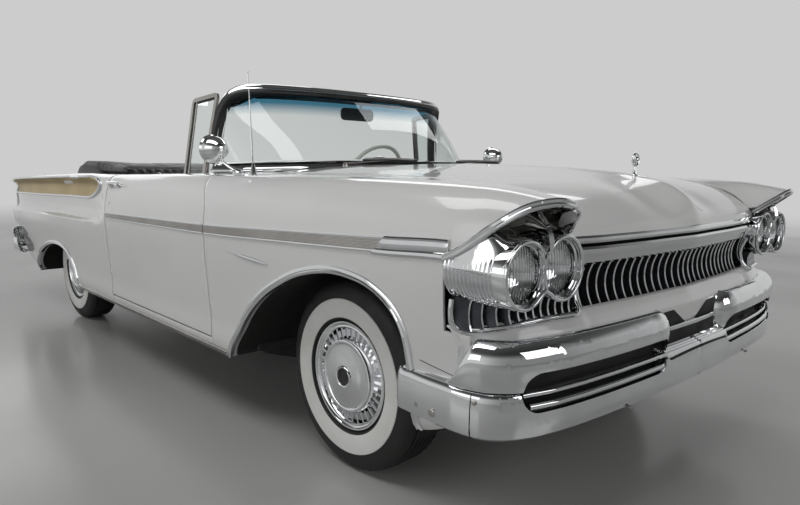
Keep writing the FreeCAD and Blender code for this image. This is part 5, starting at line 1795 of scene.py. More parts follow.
def buildTailBezel(bm):
    loop = [(-0.722, 0.640), (-0.80, 0.636), (-0.885, 0.648), (-0.903, 0.70), (-0.905, 0.80),
            (-0.898, 0.875), (-0.87, 0.893), (-0.78, 0.894), (-0.722, 0.890), (-0.718, 0.77)]
    path = [Vector((-2.566 + 0.030 * ramp(-y, 0.80, 0.90), y, z)) for y, z in loop]
    dense = smoothLine(path + path[:1], 5)[:-1]
    sweep(bm, dense, roundBox(0.018, 0.030, 0.006, 3), (-1, 0, 0), closed=True)
    for z in tailLamp["bars"]:
        bar = [Vector((-2.6015 + 0.033 * ramp(-y, 0.80, 0.90) + 0.03 * ramp(-y, 0.86, 0.9), y, z))
               for y in evenly(tailLamp["inner"], -tailLamp["wide"], 10)]
        sweep(bm, bar, roundBox(0.006, 0.006, 0.002, 2))


onBothSides("tailLens", buildTailLens, redLens, shell, "tail_lens", wall=(0.004, 0))
onBothSides("tailBezel", buildTailBezel, chrome, shell, "chrome")


def buildTailTrim(bm):
    path = [Vector((-2.557, y, 0.897)) for y in evenly(-0.69, 1.38, 20)]
    sweep(bm, path, roundBox(0.012, 0.016, 0.005, 3))
    frame = [(-0.20, 0.700), (0.20, 0.700), (0.20, 0.858), (-0.20, 0.858)]
    loop = []
    for (ya, za), (yb, zb) in zip(frame, frame[1:] + frame[:1]):
        loop += [Vector((-2.550, ya + (yb - ya) * k / 8, za + (zb - za) * k / 8))
                 for k in range(8)]
    sweep(bm, loop, roundBox(0.010, 0.012, 0.004, 3), (-1, 0, 0), closed=True)


onePiece("tailTrim", buildTailTrim, chrome, "body_shell", "chrome", ("rear_bumper", "tail_lamps"))


def buildDeckHandle(bm):  # a plain bright spear with the deck lid's lock
    path = [Vector((-2.553, y, 0.935)) for y in evenly(-0.16, 0.32, 16)]
    sweep(bm, path, roundBox(0.018, 0.016, 0.006, 3), (-1, 0, 0),
          scale=lambda u: 0.35 + 0.65 * math.sin(math.pi * u) ** 0.6)
    bolt(bm, (-2.559, 0, 0.935), (-1, 0, 0), 0.013, 0.008)


onePiece("deckHandle", buildDeckHandle, chrome, "deck_lid", "chrome")
print("stage: tail fitted")


# windshield and its frame
screen = {
    "foot": 0.65, "reach": 0.487, "half": 0.758, "power": 6.0, "baseZ": 1.103,
    "topReach": 0.185, "topHalf": 0.695, "topX": 0.690, "topZ": 1.438, "cornerDrop": 0.062,
    "shares": (0.0, 0.25, 0.5, 0.68, 0.80, 0.88, 0.93, 0.965, 0.985, 1.0),
}


def screenBase(t):
    side = abs(t)
    x = screen["foot"] + screen["reach"] * (1 - side ** screen["power"]) ** 0.9
    return Vector((x, screen["half"] * t, screen["baseZ"] - 0.020 * side ** 4))


def screenTop(t):
    side = abs(t)
    x = screen["topX"] + screen["topReach"] * (1 - side ** 3.2)
    z = screen["topZ"] - screen["cornerDrop"] * ramp(side, 0.80, 1.0)
    return Vector((x, screen["topHalf"] * t, z))


def screenShares(steps=3):
    half = screen["shares"]
    full = [-s for s in reversed(half[1:])] + list(half)
    dense = []
    for a, b in zip(full, full[1:]):
        dense += evenly(a, b - a, steps)[:-1]
    return dense + [1.0]


shares = screenShares()


def buildScreen(bm):
    along = len(shares) - 1

    def place(u, v):
        t = shares[round(u * along)]
        spot = screenBase(t).lerp(screenTop(t), v)
        spot.x += 0.022 * math.sin(math.pi * v)
        return spot

    mapGrid(bm, along, 14, place)
    faceOut(bm, (0.2, 0, 1.2))


onePiece("windshieldPane", buildScreen, tintedGlass, "body_shell", "window_glass",
         ("windshield_glass",), tidy=False, wall=(0.005, 0))

frameLine = [(0.640, -0.764, 1.052), (0.643, -0.760, 1.12), (0.650, -0.748, 1.22),
             (0.664, -0.734, 1.31), (0.684, -0.717, 1.378), (0.712, -0.696, 1.423),
             (0.752, -0.657, 1.447), (0.800, -0.58, 1.4545), (0.840, -0.45, 1.4565),
             (0.865, -0.28, 1.4575), (0.875, 0.0, 1.458)]


def headerPath(shift=(0, 0, 0), squeeze=0.0, start=0):
    right = [Vector((x, y + squeeze, z)) + Vector(shift) for x, y, z in frameLine[start:]]
    left = [Vector((p.x, -p.y, p.z)) for p in reversed(right[:-1])]
    return smoothLine(right + left, 5)


def awayFrom(path, heart=(0.2, 0, 1.0)):
    return [(p - Vector(heart)).normalized() for p in path]


def buildSurround(bm):
    path = headerPath()
    sweep(bm, path, [(-0.015, -0.006), (-0.015, 0.004), (-0.010, 0.008), (-0.002, 0.006),
                     (0.004, 0.0085), (0.012, 0.006), (0.015, -0.001), (0.013, -0.008)],
          awayFrom(path))


def buildLining(bm):
    path = headerPath((-0.014, 0, -0.025), 0.008, 1)
    sweep(bm, path, roundBox(0.036, 0.058, 0.010, 3), awayFrom(path))


def basePath(shift):
    return [screenBase(t) + Vector(shift) for t in shares]


def buildScreenTrim(bm):
    path = [p + Vector((0.010 * (1 - abs(t)), 0.012 * t ** 5, -0.016))
            for p, t in zip(basePath((0.008, 0, 0)), shares)]
    sweep(bm, path, [(-0.009, -0.008), (-0.009, 0.004), (-0.003, 0.009), (0.006, 0.007),
                     (0.012, -0.002), (0.012, -0.008)])


onePiece("windshieldSurround", buildSurround, chrome, "body_shell", "chrome",
         ("windshield_frame",), smooth=40)
onePiece("headerLining", buildLining, blackPaint, "body_shell", "interior_dark", smooth=40)
onePiece("screenGasket",
         lambda bm: sweep(bm, basePath((0.004, 0, -0.010)), roundBox(0.020, 0.024, 0.006, 3)),
         gasket, "body_shell", "interior_dark")
onePiece("screenTrim", buildScreenTrim, chrome, "body_shell", "chrome", smooth=40)


def ventCorners():
    return [Vector(p) for p in ((0.436, -0.800, 1.030), (0.452, -0.746, 1.400),
                                (0.656, -0.726, 1.418), (0.618, -0.792, 1.030))]


def roundedLoop(corners, cut, steps=4):
    loop = []
    for k, spot in enumerate(corners):
        before = corners[k - 1]
        after = corners[(k + 1) % len(corners)]
        a = spot + (before - spot).normalized() * cut
        b = spot + (after - spot).normalized() * cut
        for j in range(steps + 1):
            t = j / steps
            loop.append(a * (1 - t) ** 2 + spot * 2 * t * (1 - t) + b * t * t)
    return loop


def buildVentFrame(bm):
    loop = roundedLoop(ventCorners(), 0.018)
    sweep(bm, loop, [(-0.008, -0.010), (-0.008, 0.006), (-0.003, 0.011), (0.004, 0.008),
                     (0.008, 0.011), (0.010, -0.010)],
          awayFrom(loop, (0.53, -0.765, 1.21)), closed=True)
    a, b = ventCorners()[:2]
    post = [a.lerp(b, k / 10) + Vector((0.026, 0, 0)) for k in range(11)]
    sweep(bm, post, roundBox(0.008, 0.012, 0.003, 2), (1, 0, 0))


def buildVentPane(bm):
    a, b, c, d = ventCorners()
    mapGrid(bm, 30, 40, lambda u, v: a.lerp(d, u).lerp(b.lerp(c, u), v))
    faceOut(bm, (0.53, 0, 1.2))


def buildVentSeal(bm):
    a, b, c, d = ventCorners()
    middle = (a + b + c + d) / 4
    loop = roundedLoop([middle + (p - middle) * 0.93 for p in (a, b, c, d)], 0.03)
    sweep(bm, loop, roundBox(0.009, 0.010, 0.003, 2), awayFrom(loop, middle), closed=True)


onBothSides("ventFrame", buildVentFrame, satinSteel, doors, "chrome", smooth=40)
onBothSides("ventPane", buildVentPane, clearGlass, doors, "window_glass", ("vent_window",),
            wall=(0.004, 0))
onBothSides("ventSeal", buildVentSeal, gasket, doors, "interior_dark")

mirrorPlace = {"head": Vector((1.000, -0.921, 1.158)), "foot": Vector((1.135, -0.885, 1.052)),
               "radius": 0.056, "long": 0.072}


def buildMirror(bm):
    head, foot = mirrorPlace["head"], mirrorPlace["foot"]
    r, deep = mirrorPlace["radius"], mirrorPlace["long"]
    outline = [(0.0, deep)]
    outline += [(r * math.sin(a), deep * math.cos(a))
                for a in (math.radians(turn) for turn in evenly(6, 84, 12))]
    outline += [(r, -0.006), (r + 0.0035, -0.010), (r + 0.0035, -0.018), (r - 0.003, -0.021),
                (r - 0.005, -0.017)]
    lathe(bm, outline, (1, 0.12, 0), head - Vector((0.02, 0, 0)), 40)
    neck = head + Vector((0.020, 0.006, -0.044))
    path = smoothLine([foot + Vector((0, 0, 0.006)), foot.lerp(neck, 0.35) + Vector((0.006, 0, 0)),
                       foot.lerp(neck, 0.75), neck + Vector((-0.006, 0, 0.014))], 6)
    sweep(bm, path, ring(0.0105, 14, 0.62), (1, 0, 0),
          scale=lambda u: 1.75 - 1.1 * ramp(u, 0.0, 0.45) + 0.2 * ramp(u, 0.8, 1.0))
    base = [foot + Vector((dx, 0, 0.004)) for dx in (-0.042, -0.036, -0.015, 0.015, 0.040, 0.050)]
    sweep(bm, base, ring(0.020, 18, 0.42),
          scale=lambda u: 0.25 + 0.75 * math.sin(math.pi * (0.08 + 0.84 * u)))


def buildMirrorGlass(bm):
    lathe(bm, [(0.0, -0.0155), (mirrorPlace["radius"] - 0.002, -0.0165)], (1, 0.12, 0),
          mirrorPlace["head"] - Vector((0.02, 0, 0)), 40)


onBothSides("fenderMirror", buildMirror, chrome, shell, "chrome", smooth=50)
onBothSides("mirrorFace", buildMirrorGlass, mirrorGlass, shell, "chrome")

mast = {"foot": Vector((1.128, -0.820, 1.058)), "tip": Vector((1.120, -0.830, 1.470))}


def buildAntenna(bm):
    foot, tip = mast["foot"], mast["tip"]
    sweep(bm, [foot, foot + Vector((0, 0, 0.012)), foot + Vector((0, 0, 0.034)),
               foot + Vector((0, 0, 0.042))], ring(0.017, 20), (1, 0, 0),
          scale=lambda u: (1.0, 0.82, 0.40, 0.25)[round(u * 3)])
    stages = [(0.03, 0.0032), (0.40, 0.0032), (0.41, 0.0024), (0.72, 0.0024), (0.73, 0.0016),
              (0.985, 0.0016)]
    path = [foot.lerp(tip, t) for t, _ in stages]
    sweep(bm, path, ring(1.0, 10), (1, 0, 0), scale=lambda u: stages[round(u * 5)][1])
    bmesh.ops.create_icosphere(bm, subdivisions=2, radius=0.0035,
                               matrix=Matrix.Translation(tip - Vector((0, 0, 0.003))))


onePiece("antennaMast", buildAntenna, chrome, "body_shell", "chrome",
         ("antenna", "fender_mirrors"))

wiperPivots = (-0.36, 0.30)


def buildWipers(bm):
    for y in wiperPivots:
        pivot = Vector((1.158, y, 1.094))
        lathe(bm, [(0.0, 0.016), (0.008, 0.015), (0.010, 0.008), (0.015, 0.005), (0.016, -0.012)],
              "z", pivot, 20)
        bend = pivot + Vector((-0.004, 0.10, 0.018))
        end = pivot + Vector((-0.024, 0.33, 0.034))
        sweep(bm, smoothLine([pivot + Vector((0, 0, 0.012)), bend, end], 8), ring(0.0055, 8, 0.6),
              scale=lambda u: 1.3 - 0.65 * u)
        sweep(bm, [end + Vector((-0.001, dy, 0.004)) for dy in (-0.19, -0.1, 0.0, 0.08, 0.15)],
              roundBox(0.008, 0.007, 0.002, 2), scale=lambda u: 0.6 + 0.6 * math.sin(math.pi * u))


def buildBlades(bm):
    for y in wiperPivots:
        end = Vector((1.130, y + 0.33, 1.122))
        sweep(bm, [end + Vector((0, dy, 0)) for dy in (-0.20, -0.1, 0.0, 0.08, 0.16)],
              roundBox(0.005, 0.012, 0.002, 2))


onePiece("wiperArms", buildWipers, satinSteel, "body_shell", "brushed_arm", ("wipers",))
onePiece("wiperBlades", buildBlades, gasket, "body_shell", "interior_dark")


def buildOrnament(bm):  # a plain ringed bead on a low fairing
    centre = Vector((2.391, 0, 1.129))
    hoop = [centre + Vector((0, 0.0215 * math.cos(a), 0.0215 * math.sin(a)))
            for a in (math.tau * k / 32 for k in range(32))]
    sweep(bm, hoop, ring(0.0042, 8), (1, 0, 0), closed=True)
    bmesh.ops.create_uvsphere(bm, u_segments=20, v_segments=12, radius=0.0125,
                              matrix=Matrix.Translation(centre))
    for angle in (0, 90, 180, 270):
        a = math.radians(angle)
        away = Vector((0, math.cos(a), math.sin(a)))
        sweep(bm, [centre + away * 0.010, centre + away * 0.018, centre + away * 0.0295],
              ring(0.0045, 8), (1, 0, 0), scale=lambda u: 1.0 - 0.55 * u)
    sweep(bm, smoothLine([centre + Vector((0, 0, -0.020)), centre + Vector((0, 0, -0.032)),
                          centre + Vector((0, 0, -0.052)), centre + Vector((0, 0, -0.066))], 4),
          ring(0.006, 16), (1, 0, 0), scale=lambda u: 0.8 + 2.2 * u ** 2.2)
    sweep(bm, [centre + Vector((dx, 0, -0.062 - 0.045 * max(dx, 0))) for dx in
               (-0.075, -0.05, -0.02, 0.01, 0.035, 0.050)], ring(0.015, 16, 0.5),
          scale=lambda u: 0.2 + 0.85 * math.sin(math.pi * (0.1 + 0.8 * u)))


onePiece("hoodOrnament", buildOrnament, chrome, "hood", "chrome", smooth=45)
print("stage: windshield and small brightwork fitted")

# cabin walls, jambs and wheelhouses
cabin = {"wall": 0.791, "low": 0.374, "high": 1.026, "doorFront": 1.000, "doorRear": -0.178,
         "jambFront": 1.0185, "jambRear": -0.1945, "trimRear": -1.062}


def skinAt(x, z, inside=0.012):
    return onSide(x, z)[0].y + inside


def sideBox(bm, rear, front, lean, low, high, parts=14):  # a hollow side: wall, top and skin
    heights = [high - 0.002, high - 0.030, 0.93, 0.85, 0.75, 0.65, 0.55, 0.46, low]
    loops = []
    for x in evenly(rear, front - rear, parts):
        loop = [(-cabin["wall"], low), (-cabin["wall"], 0.60), (-cabin["wall"], 0.85),
                (-cabin["wall"], high - 0.006), (-cabin["wall"] - 0.006, high)]
        loops.append([(x, y, z) for y, z in loop + [(skinAt(x, z), z) for z in heights]])
    count = len(loops[0])

    def place(u, v):
        x, y, z = loops[round(u * parts)][round(v * count) % count]
        return Vector((x - lean * u * ramp(z, *doorCut["leanFrom"]), y, z))

    mapGrid(bm, parts, count, place)
    weld(bm)
    closeEnds(bm)


def buildDoorBox(bm):
    sideBox(bm, cabin["doorRear"], cabin["doorFront"], doorCut["lean"], cabin["low"],
            cabin["high"])


def buildQuarterBox(bm):
    sideBox(bm, cabin["trimRear"], cabin["jambRear"], 0.0, 0.560, cabin["high"])
    wall = [(cabin["jambRear"], 0.362), (cabin["jambRear"], 0.57), (-0.60, 0.57), (-0.60, 0.362)]
    bm.faces.new([bm.verts.new((x, -cabin["wall"], z)) for x, z in wall])
    mapGrid(bm, 4, 6, lambda u, v: Vector((cabin["jambRear"], -cabin["wall"] + u * (skinAt(
        cabin["jambRear"], 0.37 + 0.20 * v) + cabin["wall"]), 0.37 + 0.20 * v)))


def buildFrontJamb(bm):
    def place(u, v):
        z = 0.37 + 0.65 * v
        x = cabin["jambFront"] - doorCut["lean"] * ramp(z, *doorCut["leanFrom"])
        return Vector((x, -0.765 + u * (skinAt(x + 0.02, z) + 0.765), z))
    mapGrid(bm, 6, 16, place)


def buildSillPlate(bm):
    def place(u, v):
        x = cabin["jambRear"] + (cabin["jambFront"] - cabin["jambRear"]) * u
        return Vector((x, -0.70 + v * (skinAt(x, 0.372, 0.02) + 0.70), 0.362))
    mapGrid(bm, 20, 6, place)


liner = (0.003, 0)
onBothSides("doorBox", buildDoorBox, paint, doors, "body_paint")
onBothSides("quarterBox", buildQuarterBox, paint, shell, "body_paint")
onBothSides("hingePost", buildFrontJamb, paint, shell, "body_paint", wall=liner)
onBothSides("sillPlate", buildSillPlate, paint, shell, "body_paint", wall=liner)


def archLiner(bm, outline, wheelX, inner, hole):  # the sheet over the wheel, its inner wall
    steps = len(outline) - 1

    def spotAt(u, v):
        x, z = outline[round(u * steps)]
        return Vector((x, -inner + v * (skinAt(x, max(z, 0.40), 0.016) + inner), z))

    def wallAt(u, v):
        x, z = outline[round(u * steps)]
        far = Vector((x - wheelX, 0, z - hubHeight))
        spot = far.normalized() * (hole + (far.length - hole) * v)
        return Vector((wheelX + spot.x, -inner, hubHeight + spot.z))

    mapGrid(bm, steps, 6, spotAt)
    mapGrid(bm, steps, 5, wallAt)
    weld(bm, 1e-4)


house = {"middle": (-1.305, 0.292), "long": 0.488, "tall": 0.430}
rearHouse = [(house["middle"][0] + house["long"] * math.cos(a),
              house["middle"][1] + house["tall"] * math.sin(a)) for a in evenly(0, math.pi, 40)]
onBothSides("frontWheelhouse",
            lambda bm: archLiner(bm, archOutline("front", grow=0.012, parts=40),
                                 wheelPlaces["front_wheel_right"][0], 0.499, 0.30),
            underseal, shell, "underbody", wall=liner)
onBothSides("rearWheelhouse",
            lambda bm: archLiner(bm, rearHouse, wheelPlaces["rear_wheel_right"][0], 0.600, 0.15),
            underseal, shell, "underbody", wall=liner)
print("stage: door boxes and wheelhouses in")


# trim panels
def trimPanel(bm, x0, x1, z0, z1, rise, pleats):  # a soft panel, its edge rolled to the wall
    def place(u, v):
        x, z = x0 + (x1 - x0) * u, z0 + (z1 - z0) * v
        edge = min(x - x0, x1 - x, z - z0, z1 - z)
        roll = math.sqrt(max(0.0, 1 - (1 - min(edge / 0.016, 1.0)) ** 2))
        low, high, pitch = pleats
        band = ramp(z, low, low + 0.006) * (1 - ramp(z, high - 0.006, high))
        band = band * ramp(edge, 0.03, 0.05)
        groove = 1 - abs(math.sin(math.pi * (x - x0) / pitch)) ** 0.6
        seam = math.exp(-((z - low) / 0.004) ** 2) + math.exp(-((z - high) / 0.004) ** 2)
        return Vector((x, -cabin["wall"] + rise * roll - 0.004 * groove * band - 0.003 * seam, z))
    mapGrid(bm, int((x1 - x0) / pleats[2] * 8), 70, place)


def buildDoorTrim(bm):
    trimPanel(bm, -0.150, 0.905, 0.415, 0.985, 0.016, (0.560, 0.800, 0.045))
    faceOut(bm, (0.4, -1.5, 0.7))


def buildQuarterTrim(bm):
    trimPanel(bm, -0.580, -0.225, 0.60, 0.985, 0.016, (0.66, 0.80, 0.045))
    faceOut(bm, (-0.4, -1.5, 0.7))


def buildArmRest(bm):
    path = [Vector((x, -cabin["wall"] + 0.040, 0.735)) for x in
            (0.02, 0.03, 0.06, 0.20, 0.35, 0.44, 0.47, 0.48)]
    sweep(bm, smoothLine(path, 4), roundBox(0.062, 0.050, 0.020, 5),
          scale=lambda u: 0.5 + 0.5 * min(1.0, math.sin(math.pi * u) * 2.4) ** 0.5)


onBothSides("doorTrim", buildDoorTrim, vinylBlack, doors, "interior_dark", smooth=60)
onBothSides("quarterTrim", buildQuarterTrim, vinylBlack, shell, "interior_dark", smooth=60)
onBothSides("doorArmRest", buildArmRest, vinylBlack, doors, "interior_dark", smooth=60)


def straightTrim(bm, x0, x1, y, z, section):
    sweep(bm, [Vector((x, y, z)) for x in evenly(x0, x1 - x0, 10)], section)


def buildDoorBright(bm):
    face = -cabin["wall"] + 0.0165
    for z in (0.560, 0.800):
        straightTrim(bm, -0.135, 0.890, face, z, roundBox(0.005, 0.009, 0.002, 2))
    for x, z in ((0.62, 0.70), (0.60, 0.86)):  # window winder and door pull
        lathe(bm, [(0.0, 0.020), (0.012, 0.019), (0.020, 0.010), (0.026, 0.004), (0.027, -0.002)],
              "y", (x, face, z), 24)
        sweep(bm, [Vector((x, face + 0.016, z)), Vector((x - 0.03, face + 0.024, z - 0.002)),
                   Vector((x - 0.105, face + 0.026, z - 0.004))], roundBox(0.012, 0.007, 0.003, 3),
              (0, 1, 0))
    bmesh.ops.create_uvsphere(bm, u_segments=16, v_segments=10, radius=0.013,
                              matrix=Matrix.Translation((0.515, face + 0.042, 0.696)))
    straightTrim(bm, -0.150, 0.86, -cabin["wall"] - 0.012, cabin["high"] + 0.002,
                 roundBox(0.022, 0.006, 0.002, 2))


onBothSides("doorBright", buildDoorBright, chrome, doors, "chrome", smooth=40)


def buildSillTrim(bm):
    for k in range(4):
        straightTrim(bm, -0.17, 0.99, -0.80 - 0.03 * k, 0.3655, roundBox(0.010, 0.004, 0.0015, 2))


onBothSides("sillTrim", buildSillTrim, satinSteel, shell, "chrome")

# seats
seatForms = {
    "frontCushion": [(-0.128, 0.470), (-0.130, 0.575), (-0.06, 0.592), (0.08, 0.602),
                     (0.20, 0.605), (0.268, 0.596), (0.295, 0.565), (0.294, 0.510),
                     (0.270, 0.462), (0.20, 0.448), (-0.08, 0.448)],
    "frontBack": [(-0.128, 0.560), (-0.134, 0.640), (-0.150, 0.780), (-0.172, 0.920),
                  (-0.190, 1.005), (-0.212, 1.034), (-0.240, 1.040), (-0.264, 1.026),
                  (-0.275, 0.990), (-0.262, 0.850), (-0.240, 0.650), (-0.225, 0.470),
                  (-0.165, 0.455), (-0.136, 0.480)],
    "rearCushion": [(-0.940, 0.560), (-0.945, 0.640), (-0.88, 0.648), (-0.76, 0.655),
                    (-0.66, 0.656), (-0.612, 0.645), (-0.592, 0.615), (-0.595, 0.565),
                    (-0.66, 0.545), (-0.86, 0.545)],
    "rearBack": [(-0.948, 0.615), (-0.950, 0.70), (-0.960, 0.84), (-0.974, 0.96), (-0.985, 1.025),
                 (-1.004, 1.052), (-1.026, 1.056), (-1.046, 1.040), (-1.055, 1.000),
                 (-1.045, 0.84), (-1.025, 0.68), (-1.010, 0.585), (-0.975, 0.575)],
    "pitch": 0.060, "groove": 0.0085, "ends": 0.034, "frontHalf": 0.692, "rearHalf": 0.588,
    "split": 0.005,
}


def padLoft(bm, y0, y1, outline, facing):
    # a stuffed form: an outline in x and z drawn across the car, with sewn channels
    loop = smoothLine([Vector((x, 0, z)) for x, z in outline + outline[:1]], 4)[:-1]
    count = len(loop)
    outs = []
    for k in range(count):
        run = loop[(k + 1) % count] - loop[k - 1]
        outs.append(Vector((run.z, 0, -run.x)).normalized())
    heart = sum(loop, Vector()) / count
    if sum((p - heart).dot(o) for p, o in zip(loop, outs)) < 0:
        outs = [-o for o in outs]
    face = Vector((facing[0], 0, facing[1])).normalized()
    ends, pitch = seatForms["ends"], seatForms["pitch"]
    channels = max(1, round((y1 - y0 - 2 * ends) / pitch))
    width = (y1 - y0 - 2 * ends) / channels
    places = [y0 + ends * (1 - math.cos(math.pi / 2 * k / 6)) for k in range(6)]
    places += [y0 + ends + width * k / 8 for k in range(channels * 8 + 1)]
    places += [y1 - ends * (1 - math.cos(math.pi / 2 * k / 6)) for k in range(5, -1, -1)]
    parts = len(places) - 1

    def place(u, v):
        k, j = round(u * parts), round(v * count) % count
        y = places[k]
        near = min(y - y0, y1 - y, ends) / ends
        inset = ends * (1 - math.sqrt(max(0.0, 1 - (1 - near) ** 2)))
        soft = ramp(outs[j].dot(face), 0.05, 0.5)
        groove = 1 - abs(math.sin(math.pi * (y - y0 - ends) / width)) ** 0.55
        edge = math.exp(-((near - 0.93) / 0.08) ** 2) if near < 1 else 0.0
        depth = seatForms["groove"] * (groove * soft * (near >= 1)) + 0.003 * edge
        spot = loop[j] - outs[j] * (inset + depth)
        return Vector((spot.x, y, spot.z))

    mapGrid(bm, parts, count, place)
    weld(bm)
    closeEnds(bm)


def padPiece(name, y0, y1, form, facing, stands=()):
    piece = onePiece(name, lambda bm: padLoft(bm, y0, y1, seatForms[form], facing), vinylBlack,
                     "body_shell", "seat_vinyl", stands, smooth=70)
    soft = piece.modifiers.new("soft", "SUBSURF")
    soft.levels = soft.render_levels = 1


half, rearHalf, split = (seatForms[k] for k in ("frontHalf", "rearHalf", "split"))
upwards, forwards = (0.35, 1), (1, 0.45)
padPiece("frontSeatCushion", -half, half, "frontCushion", upwards, ("front_seat",))
padPiece("frontSeatBackRight", -half, -split, "frontBack", forwards)
padPiece("frontSeatBackLeft", split, half, "frontBack", forwards)
padPiece("rearSeatCushion", -rearHalf, rearHalf, "rearCushion", upwards, ("rear_seat",))
padPiece("rearSeatBack", -rearHalf, rearHalf, "rearBack", forwards)


def buildPiping(bm):
    for name, spans in (("frontBack", ((-0.658, -0.039), (0.039, 0.658))),
                        ("rearBack", ((-0.554, 0.554),))):
        for y0, y1 in spans:
            for y in (y0, y1):
                line = [Vector((x, y, z)) for x, z in seatForms[name][1:10]]
                heart = Vector((-0.2 if name == "frontBack" else -1.0, y, 0.75))
                line = [p + (p - heart).normalized() * 0.0008 for p in line]
                sweep(bm, smoothLine(line, 4), ring(0.0036, 8), (0, 1, 0))


def buildSeatBase(bm):
    rows = [((-0.21, 0.285), 0.680, 0.3315, 0.450), ((-0.99, -0.60), 0.575, 0.5405, 0.548)]
    for (x0, x1), half, low, high in rows:
        loop = [(x0, -half), (x1, -half), (x1, half), (x0, half)]
        path = roundedLoop([Vector((x, y, 0)) for x, y in loop], 0.05)
        count = len(path)

        def place(u, v):
            spot = path[round(u * count) % count]
            return Vector((spot.x, spot.y, low + (high - low) * v))

        mapGrid(bm, count, 3, place)
    weld(bm, 1e-4)


onePiece("seatPiping", buildPiping, vinylWhite, "body_shell", "seat_vinyl")
onePiece("seatSkirts", buildSeatBase, vinylBlack, "body_shell", "interior_dark")

# boot over the folded top
boot = {"rear": -1.664, "front": -1.082, "half": 0.694,
        "rise": [(1.0, 1.014), (0.93, 1.054), (0.82, 1.074), (0.64, 1.087), (0.46, 1.094),
                 (0.30, 1.095), (0.18, 1.084), (0.10, 1.062), (0.04, 1.032), (0.0, 0.998)],
        "arm": [(-1.150, -0.658, 1.062, 1.15), (-1.02, -0.666, 1.056, 1.10),
                (-0.90, -0.676, 1.050, 1.0), (-0.78, -0.686, 1.048, 0.95),
                (-0.66, -0.696, 1.046, 0.82), (-0.585, -0.700, 1.042, 0.50)]}


def bootHeight(x, y):
    v = (x - boot["rear"]) / (boot["front"] - boot["rear"])
    side = abs(y)
    height = levelAt(boot["rise"], v)
    height += 0.013 * ramp(side, 0.30, 0.60) - 0.030 * ramp(side, 0.655, 0.694)
    height -= 0.010 * math.exp(-((side - 0.235) / 0.010) ** 2) * ramp(v, 0.02, 0.2) * 0.5
    height += 0.0035 * math.sin(7.0 * y + 14 * x) * math.sin(5 * x + 2.2 * y * y)
    height += 0.0022 * math.sin(31 * y + 9 * x + 4 * math.sin(6 * y)) * ramp(v, 0.55, 0.95)
    return height


def buildBoot(bm):
    for low in (False, True):
        def place(u, v):
            y = boot["half"] * (2 * u - 1)
            x = boot["rear"] + (boot["front"] - boot["rear"]) * v
            return Vector((x, y, 0.965 if low else max(bootHeight(x, y), 0.975)))
        mapGrid(bm, 120, 56, place)
    bmesh.ops.bridge_loops(bm, edges=[e for e in bm.edges if e.is_boundary])


piece = onePiece("topBoot", buildBoot, vinylBlack, "body_shell", "top_fabric", ("folded_top",),
                 smooth=80)


def buildBootArm(bm):  # the boot runs on beside the seat as a soft roll
    spots = boot["arm"]
    line = smoothLine([p[:3] for p in spots], 8)
    widths = smoothLine([(p[3], 0, 0) for p in spots], 8)
    sweep(bm, line, ring(0.030, 24, 1.10), (0, 0, 1),
          scale=lambda u: widths[round(u * (len(widths) - 1))].x
          * (1 + 0.03 * math.sin(38 * u) + 0.02 * math.sin(91 * u + 1)))
    faceOut(bm, (-0.9, -0.68, 1.05))


onBothSides("topBootArm", buildBootArm, vinylBlack, shell, "top_fabric", smooth=80)


def buildBootTrim(bm):
    x = boot["front"] - 0.018
    for y in (-0.60, -0.45, -0.30, -0.15, 0.0, 0.15, 0.30, 0.45, 0.60):
        bolt(bm, (x, y, bootHeight(x, y) + 0.001), (0.5, 0, 1), 0.0075, 0.004)


onePiece("bootSnaps", buildBootTrim, chrome, "body_shell", "chrome")
print("stage: seats and top boot made")

# dashboard and steering
dash = {"half": 0.756,
        "pad": [(1.066, 0.982), (0.98, 0.998), (0.82, 1.003), (0.68, 1.003), (0.600, 0.998),
                (0.570, 0.984), (0.563, 0.964), (0.574, 0.948), (0.610, 0.944), (0.80, 0.948),
                (1.05, 0.950)],
        "face": [(0.606, 0.946), (0.588, 0.915), (0.583, 0.870), (0.592, 0.815), (0.612, 0.770),
                 (0.640, 0.742), (0.700, 0.737), (0.90, 0.742), (0.99, 0.90), (0.98, 0.946)]}


def dashLoft(bm, outline, half, parts=40):
    loop = smoothLine([Vector((x, 0, z)) for x, z in outline + outline[:1]], 4)[:-1]
    count = len(loop)

    def place(u, v):
        spot = loop[round(v * count) % count]
        return Vector((spot.x, half * (2 * u - 1), spot.z))

    mapGrid(bm, parts, count, place)
    weld(bm)
    closeEnds(bm)


onePiece("dashPad", lambda bm: dashLoft(bm, dash["pad"], dash["half"]), vinylBlack,
         "body_shell", "interior_dark", ("dashboard",), smooth=50)
onePiece("dashFace", lambda bm: dashLoft(bm, dash["face"], dash["half"] - 0.001), paint,
         "body_shell", "body_paint", smooth=50)


dials = ((0.380, 0.064), (0.245, 0.036), (0.515, 0.036), (-0.235, 0.034))
dialHeight = 0.872


def dialAt(bm, y, z, radius):
    lathe(bm, [(radius - 0.006, 0.004), (radius - 0.002, 0.012), (radius + 0.002, 0.012),
               (radius + 0.006, 0.006), (radius + 0.008, -0.012)], (-1, 0, 0), (0.585, y, z), 44)


